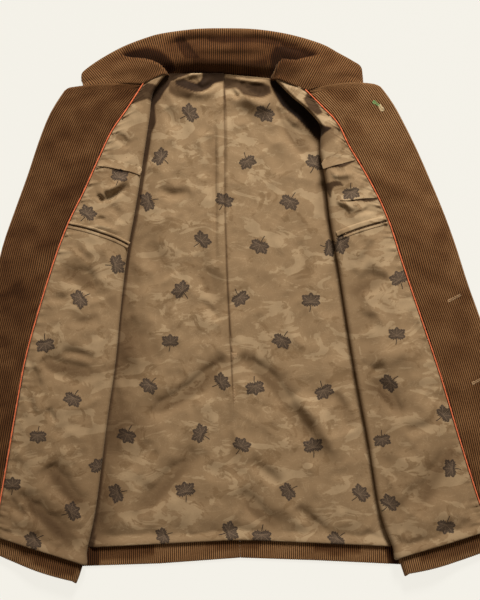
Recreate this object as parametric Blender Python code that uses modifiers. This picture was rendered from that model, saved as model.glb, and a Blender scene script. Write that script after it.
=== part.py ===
"""Corduroy jacket, laid open on its back with the lining up.

The two back halves lie flat. Each front is folded back over itself: its under leg lies on the back from
the side seam to the fold, and its upper leg runs out from the fold to the front edge, lining up. The
sleeves lie folded in between the two legs. The collar stands up past the neck and lies open.

Lengths in the tables are millimetres. X grows towards the wearer's left, Y towards the collar, and the
tables count from the middle of the neck seam. Left and right are the wearer's.
"""
import math

import bmesh
import bpy
import numpy as np
from mathutils import Vector
from mathutils.bvhtree import BVHTree

MM = 0.001
RAY_START = 200.0       # well above the whole jacket

# ---------------------------------------------------------------- cloth and layers
CORDUROY = 1.6          # thickness of the corduroy
LINING = 1.0            # thickness of the lining
GAP = 0.3               # between two layers and at each seam
AIR = 0.8               # extra room over and inside a sleeve
HEM_TURN = 1.0          # what the pressed, turned-up hem adds to the corduroy
PIPING = 2.4            # diameter of the piping
PIPING_SLOT = 3.6       # opening between lining and facing that holds it
LEAST_SLANT = 0.3       # of a row against the piping, as a sine

BACK_FACE = CORDUROY                              # inner face of the back
LEG_LINING = BACK_FACE + GAP + LINING + GAP       # under leg's lining, lower face
LEG_FACE = LEG_LINING + LINING + GAP              # under leg's corduroy, lower face
SLEEVE_BED = LEG_FACE + CORDUROY + GAP            # what a sleeve lies on
SLEEVE_LOFT = 2 * CORDUROY + 2 * GAP + AIR        # a flattened sleeve and its room
SIDE_TURN = 4.0         # strip of the front that turns down at the side seam
SIDE_BEND = 1.5         # and where it starts to bend
ARMHOLE_END = -277.0    # the armhole's lowest point, where the side seam starts
SIDE_SEAM_RUN = 60.0    # length over which the front closes down on to the back there

SLOPE_START = 25.0      # a layer keeps its height this far past what it lies on
SLOPE_RUN = 80.0        # and sinks to the floor over this length

# ---------------------------------------------------------------- how finely the cloth is cut
FRONT_ROWS = 17
BACK_ROWS = 17
SLEEVE_ROWS = 10
SLEEVE_STEPS = (0.0, 0.25, 0.5, 0.75, 1.0)
FLAP_LINING_STEPS = 7
FACING_STEPS = (0.26, 0.52, 0.78, 1.0)
NOTCH_STEP = 2          # the collar ends at this step of the facing
FOLD_STEPS = 4          # round the fold between a front's two legs
COLLAR_STEPS = (0.0, 0.16, 0.34, 0.54, 0.76, 1.0)
HEM_STEP = 0.03         # share of the turned-up hem over which it reaches its full thickness
HIDDEN_STEPS = (0.02, 0.5)                        # of the back lining, under a front
PLEAT_TURN = 3          # points round each edge of the pleat

# The middle of the whole jacket, which becomes the origin
CENTRE = (19.4, -358.5)

# ---------------------------------------------------------------- sections from the shoulder to the hem
# side: side seam or armhole; fold: where the front turns back; seam: the piping; edge: the front edge;
# *_up: how far the upper leg stands off what it lies on; *_bow: how far a row bows towards the collar.
FRONT_COLUMNS = ("side_x", "side_y", "fold_x", "fold_y", "seam_x", "seam_y", "edge_x", "edge_y",
                 "fold_up", "seam_up", "edge_up", "lining_bow", "facing_bow")
FRONT_RIGHT = (
    (-233, -57, -91, -1, -127, -18, -246, -25, 4, 3, 2, 0, 3),
    (-225, -92, -112, -31, -152, -57, -270, -63, 6, 4, 2, 0, 1),
    (-222, -132, -118, -71, -176, -92, -288, -106, 5, 4, 2, 0, 0),
    (-226, -179, -125, -117, -197, -136, -306, -159, 4, 3, 1, 0, 0),
    (-239, -231, -133, -171, -219, -185, -325, -211, 4, 3, 1, 0, 0),
    (-259, -277, -142, -225, -243, -234, -343, -263, 5, 3, 1, 0, 0),
    (-262, -328, -153, -286, -265, -293, -357, -320, 5, 3, 2, 0, 0),
    (-256, -394, -163, -374, -290, -374, -376, -393, 4, 3, 2, 0, 0),
    (-253, -462, -170, -447, -309, -444, -391, -462, 4, 3, 2, 0, 0),
    (-253, -528, -180, -517, -322, -513, -405, -531, 4, 3, 2, 0, 0),
    (-256, -605, -191, -601, -336, -594, -417, -605, 4, 3, 2, 0, 0),
    (-256, -680, -202, -682, -348, -662, -422, -658, 5, 3, 2, 0, 0),
    (-253, -735, -219, -757, -356, -713, -417, -697, 6, 3, 2, 0, 0),
    (-253, -762, -229, -787, -362, -739, -400, -724, 6, 2, 1, -4, 0),
)
FRONT_LEFT = (
    (225, -62, 74, -9, 123, -29, 236, -20, 4, 4, 3, 0, 7),
    (217, -97, 99, -35, 148, -54, 257, -49, 8, 5, 3, 0, 2),
    (213, -136, 125, -57, 172, -80, 277, -85, 12, 6, 2, 0, 0),
    (217, -182, 145, -83, 189, -114, 296, -123, 13, 6, 2, 0, 0),
    (234, -234, 145, -123, 213, -154, 316, -168, 12, 5, 1, 0, 0),
    (262, -277, 154, -172, 236, -197, 336, -216, 10, 5, 1, 0, 0),
    (268, -328, 160, -225, 253, -237, 354, -266, 8, 4, 1, 0, 0),
    (265, -394, 172, -293, 271, -293, 373, -326, 6, 4, 1, 0, 0),
    (262, -462, 186, -382, 300, -379, 397, -394, 5, 4, 1, 0, 0),
    (265, -528, 200, -467, 330, -468, 422, -477, 5, 4, 1, 0, 0),
    (274, -605, 219, -567, 360, -567, 444, -567, 5, 4, 1, 0, 0),
    (283, -680, 238, -680, 389, -658, 460, -650, 6, 4, 1, 0, 0),
    (285, -731, 264, -748, 407, -704, 455, -690, 7, 4, 1, 0, 0),
    (286, -759, 274, -776, 413, -733, 437, -721, 7, 3, 1, -4, 0),
)

# neck: the line down from the neck's corner; centre: the centre-back seam.
BACK_COLUMNS = ("side_x", "side_y", "neck_x", "neck_y", "centre_x", "centre_y")
BACK_RIGHT = (
    (-233, -57, -90, -2, -3, -3),
    (-225, -92, -95, -50, -3, -50),
    (-222, -132, -98, -105, -2, -105),
    (-226, -179, -102, -160, -1, -160),
    (-239, -231, -106, -215, 0, -212),
    (-259, -277, -110, -270, 2, -265),
    (-262, -328, -110, -325, 4, -320),
    (-256, -394, -108, -392, 7, -388),
    (-253, -462, -105, -460, 10, -455),
    (-253, -528, -103, -526, 13, -520),
    (-256, -605, -102, -601, 16, -596),
    (-256, -680, -102, -675, 19, -670),
    (-253, -733, -102, -727, 21, -720),
    (-253, -762, -102, -757, 22, -748),
)
BACK_LEFT = (
    (225, -62, 73, -10, -3, -3),
    (217, -97, 80, -55, -3, -50),
    (213, -136, 86, -108, -2, -105),
    (217, -182, 92, -162, -1, -160),
    (234, -234, 98, -217, 0, -212),
    (262, -277, 105, -268, 2, -265),
    (268, -328, 112, -324, 4, -320),
    (265, -394, 116, -391, 7, -388),
    (262, -462, 120, -459, 10, -455),
    (265, -528, 124, -525, 13, -520),
    (274, -605, 129, -600, 16, -596),
    (283, -680, 132, -676, 19, -670),
    (285, -731, 136, -724, 21, -720),
    (286, -759, 138, -752, 22, -748),
)

# The centre-back pleat of the lining: its edge, how deep it folds under, and how much of its height is left.
PLEAT_BESIDE = 10.0     # the lining comes down to its own height this far beside the pleat
PLEAT_COLUMNS = ("y", "edge_x", "depth", "height")
PLEAT = (
    (-3, -4, 18, 1.0),
    (-105, -2, 18, 1.0),
    (-212, -2, 18, 1.0),
    (-320, 1, 18, 1.0),
    (-400, 5, 18, 1.0),
    (-430, 7, 14, 1.0),
    (-465, 8, 4, 0.8),
    (-500, 10, -8, 0.4),
    (-540, 12, -14, 0.0),
    (-760, 21, -14, 0.0),
)

# Across the sleeve, from its over-arm fold to its under-arm fold, head to cuff.
SLEEVE_COLUMNS = ("over_x", "over_y", "under_x", "under_y")
SLEEVE_RIGHT = (
    (-222, -72, -259, -262),
    (-186, -110, -281, -288),
    (-166, -170, -309, -316),
    (-166, -243, -331, -356),
    (-174, -320, -343, -407),
    (-184, -397, -350, -474),
    (-191, -474, -355, -550),
    (-200, -551, -358, -621),
    (-206, -628, -359, -662),
    (-212, -680, -358, -694),
)
SLEEVE_LEFT = (
    (214, -78, 262, -262),
    (190, -120, 284, -288),
    (176, -172, 311, -317),
    (180, -235, 338, -356),
    (191, -312, 360, -406),
    (205, -390, 377, -470),
    (218, -467, 390, -540),
    (234, -545, 400, -611),
    (247, -622, 404, -652),
    (258, -674, 405, -688),
)

# From the neck seam to the outer edge of the collar. The roll is the ridge between stand and fall.
COLLAR_COLUMNS = ("neck_x", "edge_x", "edge_y", "roll_up", "edge_up", "roll_at")
COLLAR = (
    (-221, -223, -2, 4, 0, 0.40),
    (-194, -205, 15, 5, -1, 0.38),
    (-163, -176, 32, 6, -2, 0.36),
    (-127, -143, 48, 8, -3, 0.34),
    (-100, -109, 59, 10, -2, 0.32),
    (-83, -74, 65, 14, 1, 0.30),
    (-46, -40, 68, 17, 4, 0.28),
    (-3, 0, 69, 18, 5, 0.28),
    (40, 40, 67, 17, 4, 0.28),
    (62, 77, 62, 15, 1, 0.30),
    (85, 111, 54, 12, -2, 0.32),
    (123, 148, 42, 9, -3, 0.34),
    (150, 172, 29, 7, -2, 0.36),
    (179, 194, 18, 5, -1, 0.38),
    (212, 209, 8, 4, 0, 0.40),
)

# The back neck line, where the collar's stand is sewn to the back
BACK_NECK = ((-62, -2.3), (-33, -2.6), (-3, -3), (22, -5.3), (47, -7.6))
COLLAR_EDGE_UP = 2.0    # the collar's outer edge stands this far off the floor, plus its table's edge_up
ROLL_SHARE = 0.6        # how much of the higher end's height the roll keeps
ROLL_LIFT = 0.8         # how much of the table's roll_up it adds

# Soft folds of the loose linings: three points along each, its half width, and its height or depth.
FOLD_COLUMNS = ("x0", "y0", "x1", "y1", "x2", "y2", "width", "height")
FOLD_LINE_POINTS = 9
BACK_FOLDS = (
    (-86, -20, -45, -36, -5, -24, 14, 7),
    (5, -24, 35, -42, 72, -60, 14, 6),
    (0, -436, -51, -491, -140, -537, 16, -4),
    (17, -437, 75, -484, 165, -607, 16, -4),
    (108, -496, 142, -542, 176, -601, 15, 5),
    (-37, -577, -95, -641, -149, -698, 18, -4),
    (22, -641, 49, -679, 92, -707, 16, -4),
    (88, -74, 109, -106, 128, -128, 14, -4),
    (-131, -253, -106, -291, -88, -317, 18, -3),
    (-45, -280, -25, -322, -8, -383, 16, -3),
)
RIGHT_FOLDS = (
    (-185, -185, -159, -172, -139, -163, 14, 3),
    (-266, -310, -222, -314, -196, -351, 18, -4),
    (-285, -442, -239, -460, -185, -470, 18, -4),
    (-273, -604, -257, -630, -208, -679, 18, -4),
    (-320, -647, -262, -701, -231, -730, 18, -4),
)
LEFT_FOLDS = (
    (251, -319, 208, -334, 191, -348, 18, -4),
    (203, -447, 246, -436, 310, -428, 16, 4),
    (209, -476, 236, -491, 279, -530, 18, -4),
    (360, -565, 323, -621, 291, -682, 20, -4),
)
LINING_PUFF = 4.0       # how far a loose lining stands off the corduroy between its folds
PUFF_RUN = 45.0         # and how far from its seams it takes to rise
RIM_MARGIN = 7.0        # the back lining starts to rise this far past a front's fold
NECK_SEAM = 1.1         # from the neck line to the collar, with room for the stand to lean

# Inner breast pockets: the ends of the mouth, on the front lining.
WELT_WIDTH = 4.6
WELT_THICK = 1.0
WELT_STEPS = 6
POCKET_RIGHT = ((-239, -236), (-160, -262))
POCKET_LEFT = ((198, -247), (246, -229))

# Buttons on the outer face of the right front, in line with the buttonholes.
BUTTON_SIZE = 20.0
BUTTON_THICK = 3.4
BUTTON_ROUND = 0.8
BUTTON_SIDES = 24
BUTTONS = {"button_upper": (-347, -352), "button_lower": (-378, -474)}

# ---------------------------------------------------------------- finishes
FINISHES = {
    "corduroy": ((0.127, 0.056, 0.022), 0.95),
    "lining": ((0.290, 0.190, 0.105), 0.80),
    "piping": ((0.600, 0.130, 0.045), 0.70),
    "button": ((0.030, 0.016, 0.009), 0.35),
}


# ---------------------------------------------------------------- tables and curves
def columns(names, rows):
    """The table as one array for each named column."""
    return dict(zip(names, np.array(rows, dtype=float).T))


def along(values, place):
    """Values of a smooth curve through a column, at row numbers that need not be whole."""
    place = np.asarray(place, dtype=float)
    last = len(values) - 1
    low = np.clip(np.floor(place).astype(int), 0, last - 1)
    part = (place - low).reshape(place.shape + (1,) * (values.ndim - 1))
    first = values[np.maximum(low - 1, 0)]
    second = values[low]
    third = values[low + 1]
    fourth = values[np.minimum(low + 2, last)]
    bend = 2 * first - 5 * second + 4 * third - fourth
    twist = 3 * (second - third) + fourth - first
    return second + 0.5 * part * (third - first + part * (bend + part * twist))


def ease(part):
    """A soft step from 0 to 1."""
    part = np.clip(part, 0.0, 1.0)
    return part * part * (3.0 - 2.0 * part)


def distance_to_line(points, line, closed):
    """Distance in plan from each point to a line of points, and how far along the line that is, 0 to 1."""
    ends = np.vstack((line, line[:1])) if closed else line
    best = np.full(points.shape[:-1], np.inf)
    where = np.zeros(points.shape[:-1])
    count = len(ends) - 1
    for number in range(count):
        start = ends[number]
        step = ends[number + 1] - start
        part = np.clip(((points - start) @ step) / max(step @ step, 1e-9), 0.0, 1.0)
        gap = np.linalg.norm(points - start - part[..., None] * step, axis=-1)
        where = np.where(gap < best, (number + part) / count, where)
        best = np.minimum(best, gap)
    return best, where


def distance_outside(points, outline):
    """Distance in plan from each point to the area inside an outline: 0 inside it."""
    inside = np.zeros(points.shape[:-1], dtype=bool)
    following = np.roll(outline, -1, axis=0)
    for start, end in zip(outline, following):
        crosses = (start[1] > points[..., 1]) != (end[1] > points[..., 1])
        rise = end[1] - start[1] if end[1] != start[1] else 1e-9
        reach = start[0] + (points[..., 1] - start[1]) * (end[0] - start[0]) / rise
        inside ^= crosses & (points[..., 0] < reach)
    gap, _ = distance_to_line(points, outline, closed=True)
    return np.where(inside, 0.0, gap)


def sinking(distance):
    """1 on what a layer lies on and a little past it, falling to 0 where it has reached the floor."""
    return 1.0 - ease((distance - SLOPE_START) / SLOPE_RUN)


def fold_relief(points, table):
    """Height that the soft folds of a table add at each point."""
    relief = np.zeros(points.shape[:-1])
    folds = columns(FOLD_COLUMNS, table)
    for number in range(len(table)):
        fold = {name: column[number] for name, column in folds.items()}
        ends = np.array([(fold["x" + end], fold["y" + end]) for end in "012"])
        line = along(ends, np.linspace(0, 2, FOLD_LINE_POINTS))
        gap, where = distance_to_line(points, line, closed=False)
        fade = np.sqrt(np.clip(np.sin(math.pi * where), 0.0, 1.0))
        relief += fold["height"] * fade * np.exp(-((gap / fold["width"]) ** 2))
    return relief


# ---------------------------------------------------------------- surfaces
def outward(surface, sign):
    """The direction out of the lining side at each point of a surface of rows and columns."""
    across = np.gradient(surface, axis=1)
    down = np.gradient(surface, axis=0)
    normal = np.cross(across, down) * sign
    return normal / np.linalg.norm(normal, axis=-1, keepdims=True)


def material(name):
    """The finish's material, made once."""
    found = bpy.data.materials.get(name)
    if found:
        return found
    colour, roughness = FINISHES[name]
    made = bpy.data.materials.new(name)
    made.use_nodes = True
    made.diffuse_color = (*colour, 1.0)
    shader = made.node_tree.nodes["Principled BSDF"]
    shader.inputs["Base Color"].default_value = (*colour, 1.0)
    shader.inputs["Roughness"].default_value = roughness
    shader.inputs["Metallic"].default_value = 0.0
    return made


def place(name, mesh, finish):
    """Put a mesh in the jacket's collection as a named object with its finish."""
    mesh.materials.append(material(finish))
    made = bpy.data.objects.new(name, mesh)
    bpy.data.collections["corduroy jacket"].objects.link(made)
    return made


def to_scene(surface):
    """Table millimetres to metres from the jacket's own origin."""
    shift = np.array((CENTRE[0], CENTRE[1], 0.0))
    return (surface - shift) * MM


def panel(name, surface, finish, thick, offset, round_tube=False, doubled=None):
    """A wall of cloth: an open surface of rows and columns, given its thickness by Solidify.

    offset is 1 to thicken towards the surface's outward side, -1 away from it and 0 both ways. Rows
    listed in doubled have the extra thickness of a turned-up hem.
    """
    rows, count = surface.shape[:2]
    cage = bmesh.new()
    verts = [cage.verts.new(point) for point in to_scene(surface).reshape(-1, 3)]
    for row in range(rows - 1):
        for column in range(count if round_tube else count - 1):
            after = (column + 1) % count
            corners = (row * count + column, row * count + after,
                       (row + 1) * count + after, (row + 1) * count + column)
            cage.faces.new([verts[corner] for corner in corners])
    cage.normal_update()
    mesh = bpy.data.meshes.new(name)
    cage.to_mesh(mesh)
    cage.free()
    made = place(name, mesh, finish)
    wall = made.modifiers.new("wall", "SOLIDIFY")
    wall.thickness = thick * MM
    wall.offset = offset
    wall.use_rim = True
    if doubled is not None:
        full = thick + HEM_TURN
        wall.thickness = full * MM
        group = made.vertex_groups.new(name="thickness")
        for row in range(rows):
            share = 1.0 if doubled[row] else thick / full
            group.add(list(range(row * count, (row + 1) * count)), share, "REPLACE")
        wall.vertex_group = group.name
    return made


# ---------------------------------------------------------------- what lies under the fronts
def back_outline():
    """Plan of the back, all round."""
    right = columns(BACK_COLUMNS, BACK_RIGHT)
    left = columns(BACK_COLUMNS, BACK_LEFT)
    down = list(zip(right["side_x"], right["side_y"]))
    up = list(zip(left["side_x"], left["side_y"]))[::-1]
    neck = [(left["neck_x"][0], left["neck_y"][0]), (right["neck_x"][0], right["neck_y"][0])]
    return np.array(down + up + neck)


def sleeve_outline(table):
    """Plan of a sleeve, all round."""
    sleeve = columns(SLEEVE_COLUMNS, table)
    over = list(zip(sleeve["over_x"], sleeve["over_y"]))
    under = list(zip(sleeve["under_x"], sleeve["under_y"]))[::-1]
    return np.array(over + under)


def sleeve_bed(points):
    """Height of what a sleeve lies on."""
    return SLEEVE_BED * sinking(distance_outside(points, back_outline()))


def flap_bed(points, sleeve_table):
    """Height of what the upper leg of a front lies on."""
    over_back = distance_outside(points, back_outline())
    over_sleeve = distance_outside(points, sleeve_outline(sleeve_table))
    covered = np.minimum(over_back, over_sleeve)
    return SLEEVE_BED * sinking(over_back) + (SLEEVE_LOFT + GAP) * sinking(covered)


# ---------------------------------------------------------------- the fronts
def hem_rows(count):
    """Row numbers of a panel: even down to the lining's hem line, then the turned-up hem."""
    last = len(FRONT_RIGHT) - 1
    return np.concatenate((np.linspace(0, last - 1, count), (last - 1 + HEM_STEP, last)))


def slot_share(row, course):
    """Half the piping's slot, measured along a row that meets the seam's course at a slant."""
    slant = np.abs(row[:, 0] * course[:, 1] - row[:, 1] * course[:, 0])
    return (PIPING_SLOT / 2 / np.maximum(slant, LEAST_SLANT))[:, None]


def front_surface(table, sleeve_table):
    """The face between corduroy and lining of a front, from side seam to front edge.

    Returns the surface and the number of the column where the upper leg starts.
    """
    front = {name: along(column, hem_rows(FRONT_ROWS)) for name, column in
             columns(FRONT_COLUMNS, table).items()}
    side = np.stack((front["side_x"], front["side_y"]), axis=-1)
    fold = np.stack((front["fold_x"], front["fold_y"]), axis=-1)
    seam = np.stack((front["seam_x"], front["seam_y"]), axis=-1)
    edge = np.stack((front["edge_x"], front["edge_y"]), axis=-1)
    inward = fold - side
    inward /= np.linalg.norm(inward, axis=-1, keepdims=True)
    back_out = seam - fold
    back_out /= np.linalg.norm(back_out, axis=-1, keepdims=True)
    nose = inward - back_out
    nose /= np.linalg.norm(nose, axis=-1, keepdims=True)

    near_fold = flap_bed(fold, sleeve_table) + CORDUROY + front["fold_up"]
    radius = (near_fold - LEG_FACE) / 2
    heart = fold - nose * (radius + GAP + LINING)[:, None]
    middle = (near_fold + LEG_FACE) / 2

    def at(plan, height):
        return np.concatenate((plan, np.broadcast_to(height, plan.shape[:1])[:, None]), axis=-1)

    sewn = ease((ARMHOLE_END - front["side_y"]) / SIDE_SEAM_RUN)
    drop = sewn * math.pi / 2
    lines = []
    for share in (1.0, 0.5):
        reach = SIDE_TURN * share * np.cos(drop)
        fall = (LEG_FACE - BACK_FACE - GAP) * share * np.sin(drop)
        lines.append(at(side - inward * (reach + GAP)[:, None], LEG_FACE - fall))
    lines.append(at(side + inward * SIDE_BEND, LEG_FACE))
    lines.append(at((side + heart) / 2, LEG_FACE))
    for step in range(FOLD_STEPS + 1):
        turn = math.pi * (step / FOLD_STEPS - 0.5)
        lines.append(at(heart + nose * (radius * math.cos(turn))[:, None],
                        middle + radius * math.sin(turn)))
    first_flap = len(lines) - 1

    def flap_line(start, end, share, bow, low, high):
        plan = start + (end - start) * share
        plan[:, 1] += bow * 4 * share * (1 - share)
        lift = low + (high - low) * ease(share)
        return at(plan, flap_bed(plan, sleeve_table) + CORDUROY + lift)

    out = edge - seam
    out /= np.linalg.norm(out, axis=-1, keepdims=True)
    course = np.gradient(seam, axis=0)
    course /= np.linalg.norm(course, axis=-1, keepdims=True)
    before = seam - back_out * slot_share(back_out, course)
    beyond = seam + out * slot_share(out, course)
    for step in range(1, FLAP_LINING_STEPS + 1):
        lines.append(flap_line(heart, before, step / FLAP_LINING_STEPS, front["lining_bow"],
                               front["fold_up"], front["seam_up"]))
    lines.append(flap_line(beyond, edge, 0.0, front["facing_bow"], front["seam_up"], front["edge_up"]))
    for share in FACING_STEPS:
        lines.append(flap_line(beyond, edge, share, front["facing_bow"],
                               front["seam_up"], front["edge_up"]))
    return np.stack(lines, axis=1), first_flap


def lining_slack(surface, folds, rim):
    """How far a loose lining stands off the corduroy: nothing at its rim, more inside, with its folds."""
    points = surface[..., :2]
    gap, _ = distance_to_line(points, rim, closed=True)
    free = ease(gap / PUFF_RUN)
    return free * np.maximum(LINING_PUFF + fold_relief(points, folds), 0.0)


def make_front(side, table, sleeve_table, folds, sign):
    """One front: corduroy, lining, facing, piping and the two welts of its pocket."""
    surface, first_flap = front_surface(table, sleeve_table)
    normal = outward(surface, sign)
    hem_line = FRONT_ROWS - 1
    seam = first_flap + FLAP_LINING_STEPS
    doubled = [row > hem_line for row in range(surface.shape[0])]
    panel("front_" + side, surface, "corduroy", CORDUROY, -sign, doubled=doubled)

    flap = surface[:hem_line + 1, first_flap:seam + 1]
    rim = np.concatenate((flap[0, :, :2], flap[:, -1, :2], flap[-1, ::-1, :2], flap[::-1, 0, :2]))
    covered = surface[:hem_line + 1, 2:seam + 1]
    slack = np.zeros(covered.shape[:2])
    slack[:, first_flap - 2:] = lining_slack(flap, folds, rim)
    lifted = covered + normal[:hem_line + 1, 2:seam + 1] * (GAP + slack)[..., None]
    panel("front_lining_" + side, lifted, "lining", LINING, sign)

    facing = surface[:, seam + 1:] + normal[:, seam + 1:] * GAP
    panel("facing_" + side, facing, "corduroy", CORDUROY, sign)

    route = (surface[:, seam] + surface[:, seam + 1]) / 2
    route = route + normal[:, seam] * (GAP + PIPING / 2)
    for end, inner in ((0, 1), (-1, -2)):
        step = route[inner] - route[end]
        route[end] += step / np.linalg.norm(step) * PIPING / 2
    make_piping("piping_" + side, route)
    return surface, first_flap, lifted + outward(lifted, sign) * LINING


def make_piping(name, route):
    """A corded edge: a tube along its route, turned into a mesh with welded caps."""
    guide = bpy.data.curves.new(name, "CURVE")
    guide.dimensions = "3D"
    guide.bevel_depth = PIPING / 2 * MM
    guide.bevel_resolution = 1
    guide.use_fill_caps = True
    line = guide.splines.new("POLY")
    line.points.add(len(route) - 1)
    for point, position in zip(line.points, to_scene(route)):
        point.co = (*position, 1.0)
    holder = bpy.data.objects.new(name + "_guide", guide)
    bpy.context.scene.collection.objects.link(holder)
    bpy.context.view_layer.update()
    graph = bpy.context.evaluated_depsgraph_get()
    mesh = bpy.data.meshes.new_from_object(holder.evaluated_get(graph))
    bpy.data.objects.remove(holder)
    work = bmesh.new()
    work.from_mesh(mesh)
    bmesh.ops.remove_doubles(work, verts=work.verts, dist=0.00001)
    work.to_mesh(mesh)
    work.free()
    mesh.materials.clear()
    place(name, mesh, "piping")


def height_on(surface, points):
    """Height of a surface of rows and columns at points in plan."""
    count = surface.shape[1]
    faces = []
    for row in range(surface.shape[0] - 1):
        for column in range(count - 1):
            corner = row * count + column
            faces.append((corner, corner + 1, corner + count + 1, corner + count))
    tree = BVHTree.FromPolygons(surface.reshape(-1, 3).tolist(), faces)
    return np.array([tree.ray_cast((x, y, RAY_START), (0, 0, -1))[0][2] for x, y in points])


def make_pocket(side, mouth, top, sign):
    """Two welts along the mouth of an inner pocket, on the lining."""
    start, end = np.array(mouth, dtype=float)
    share = np.linspace(0, 1, WELT_STEPS)[:, None]
    middle = start + (end - start) * share
    lengthwise = (end - start) / np.linalg.norm(end - start)
    crosswise = np.array((-lengthwise[1], lengthwise[0]))
    if crosswise[1] < 0:
        crosswise = -crosswise
    for name, shift in (("upper", WELT_WIDTH / 2 + GAP), ("lower", -WELT_WIDTH / 2 - GAP)):
        lines = []
        for half in (-WELT_WIDTH / 2, WELT_WIDTH / 2):
            plan = middle + crosswise * (shift + half)
            height = height_on(top, plan) + 2 * GAP
            lines.append(np.concatenate((plan, height[:, None]), axis=1))
        surface = np.stack(lines, axis=1)
        facing_up = outward(surface, 1)[0, 0, 2]
        if facing_up < 0:
            surface = surface[:, ::-1]
        panel("welt_" + side + "_" + name, surface, "lining", WELT_THICK, 1)


# ---------------------------------------------------------------- the back
def back_surface(table, inner_face):
    """One half of the back at the height of a face, from side to centre."""
    back = {name: along(column, hem_rows(BACK_ROWS)) for name, column in
            columns(BACK_COLUMNS, table).items()}
    side = np.stack((back["side_x"], back["side_y"]), axis=-1)
    neck = np.stack((back["neck_x"], back["neck_y"]), axis=-1)
    centre = np.stack((back["centre_x"], back["centre_y"]), axis=-1)
    lines = [side, (side + neck) / 2, neck, neck + (centre - neck) / 3, neck + (centre - neck) * 2 / 3]
    lines.append(centre + np.array((math.copysign(GAP / 2, table[0][0]), 0.0)))
    flat = np.stack(lines, axis=1)
    return np.concatenate((flat, np.full(flat.shape[:2] + (1,), inner_face)), axis=-1)


def make_back():
    """Both halves of the corduroy back, their lower faces on the floor."""
    hem_line = BACK_ROWS - 1
    doubled = [row > hem_line for row in range(BACK_ROWS + 2)]
    for side, table, sign in (("right", BACK_RIGHT, 1), ("left", BACK_LEFT, -1)):
        floor = back_surface(table, 0.0)
        panel("back_" + side, floor, "corduroy", CORDUROY, -sign, doubled=doubled)


def pleat_section(edge_x, depth, height):
    """Across the pleat: offsets in plan and heights, as it folds under and comes forward again."""
    layer = LINING + GAP
    radius = layer / 2
    points = []
    for step in range(PLEAT_TURN + 1):
        turn = math.pi / 2 - math.pi * step / PLEAT_TURN
        points.append((edge_x + radius * math.cos(turn), 1.5 * layer + radius * math.sin(turn)))
    for step in range(PLEAT_TURN + 1):
        turn = math.pi / 2 + math.pi * step / PLEAT_TURN
        points.append((edge_x - depth + radius * math.cos(turn), 0.5 * layer + radius * math.sin(turn)))
    return [(x, z * height) for x, z in points]


def lining_row(half, fold, inward):
    """Points of a back lining row from the side seam to just past the front's fold."""
    side, neck, centre = half[0, :2], half[2, :2], half[-1, :2]
    xs = np.array((side[0], neck[0], centre[0]))
    ys = np.array((side[1], neck[1], centre[1]))
    order = np.argsort(xs)
    fold_x = side[0]
    for _ in range(4):
        fold_y = np.interp(fold_x, xs[order], ys[order])
        fold_x = np.interp(-fold_y, -fold[:, 1], fold[:, 0]) + inward * RIM_MARGIN
    places = [side[0] + (fold_x - side[0]) * share for share in (*HIDDEN_STEPS, 1.0)]
    return [(x, np.interp(x, xs[order], ys[order]), 0.0) for x in places]


def make_back_lining(right_front, left_front):
    """The back lining, in one piece, with its centre pleat; returns its middle face."""
    pleat = columns(PLEAT_COLUMNS, PLEAT)
    right = back_surface(BACK_RIGHT, 0.0)[:BACK_ROWS]
    left = back_surface(BACK_LEFT, 0.0)[:BACK_ROWS]
    base = BACK_FACE + GAP + LINING / 2
    rows = []
    for row in range(BACK_ROWS):
        middle_y = right[row, -1, 1]
        values = [np.interp(-middle_y, -pleat["y"], pleat[name]) for name in ("edge_x", "depth", "height")]
        section = pleat_section(*values)
        top = section[0][1]
        near = section[0][0] - max(values[1], 0.0) - PLEAT_BESIDE
        beyond = section[-1][0] + PLEAT_BESIDE
        line = lining_row(right[row], right_front, 1)
        start = line[-1]
        for share, rise in ((0.3, 0.1), (0.65, 0.4), (1.0, 1.0)):
            line.append((start[0] + (near - start[0]) * share, start[1] + (middle_y - start[1]) * share,
                         top * rise))
        line += [(x, middle_y, z) for x, z in section]
        other = lining_row(left[row], left_front, -1)[::-1]
        for share in (0.0, 0.35, 0.7):
            line.append((beyond + (other[0][0] - beyond) * share,
                         middle_y + (other[0][1] - middle_y) * share, 0.0))
        rows.append(line + other)
    surface = np.array(rows)
    surface[..., 2] += base
    shown = surface[:, 2:-2]
    rim = np.concatenate((shown[0, :, :2], shown[:, -1, :2], shown[-1, ::-1, :2], shown[::-1, 0, :2]))
    gap, _ = distance_to_line(surface[..., :2], rim, closed=True)
    free = ease(gap / PUFF_RUN)
    hidden = len(HIDDEN_STEPS) + 1
    free[:, :hidden] = 0.0
    free[:, -hidden:] = 0.0
    surface[..., 2] += free * np.maximum(LINING_PUFF + fold_relief(surface[..., :2], BACK_FOLDS), 0.0)
    panel("back_lining", surface, "lining", LINING, 0)


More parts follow.
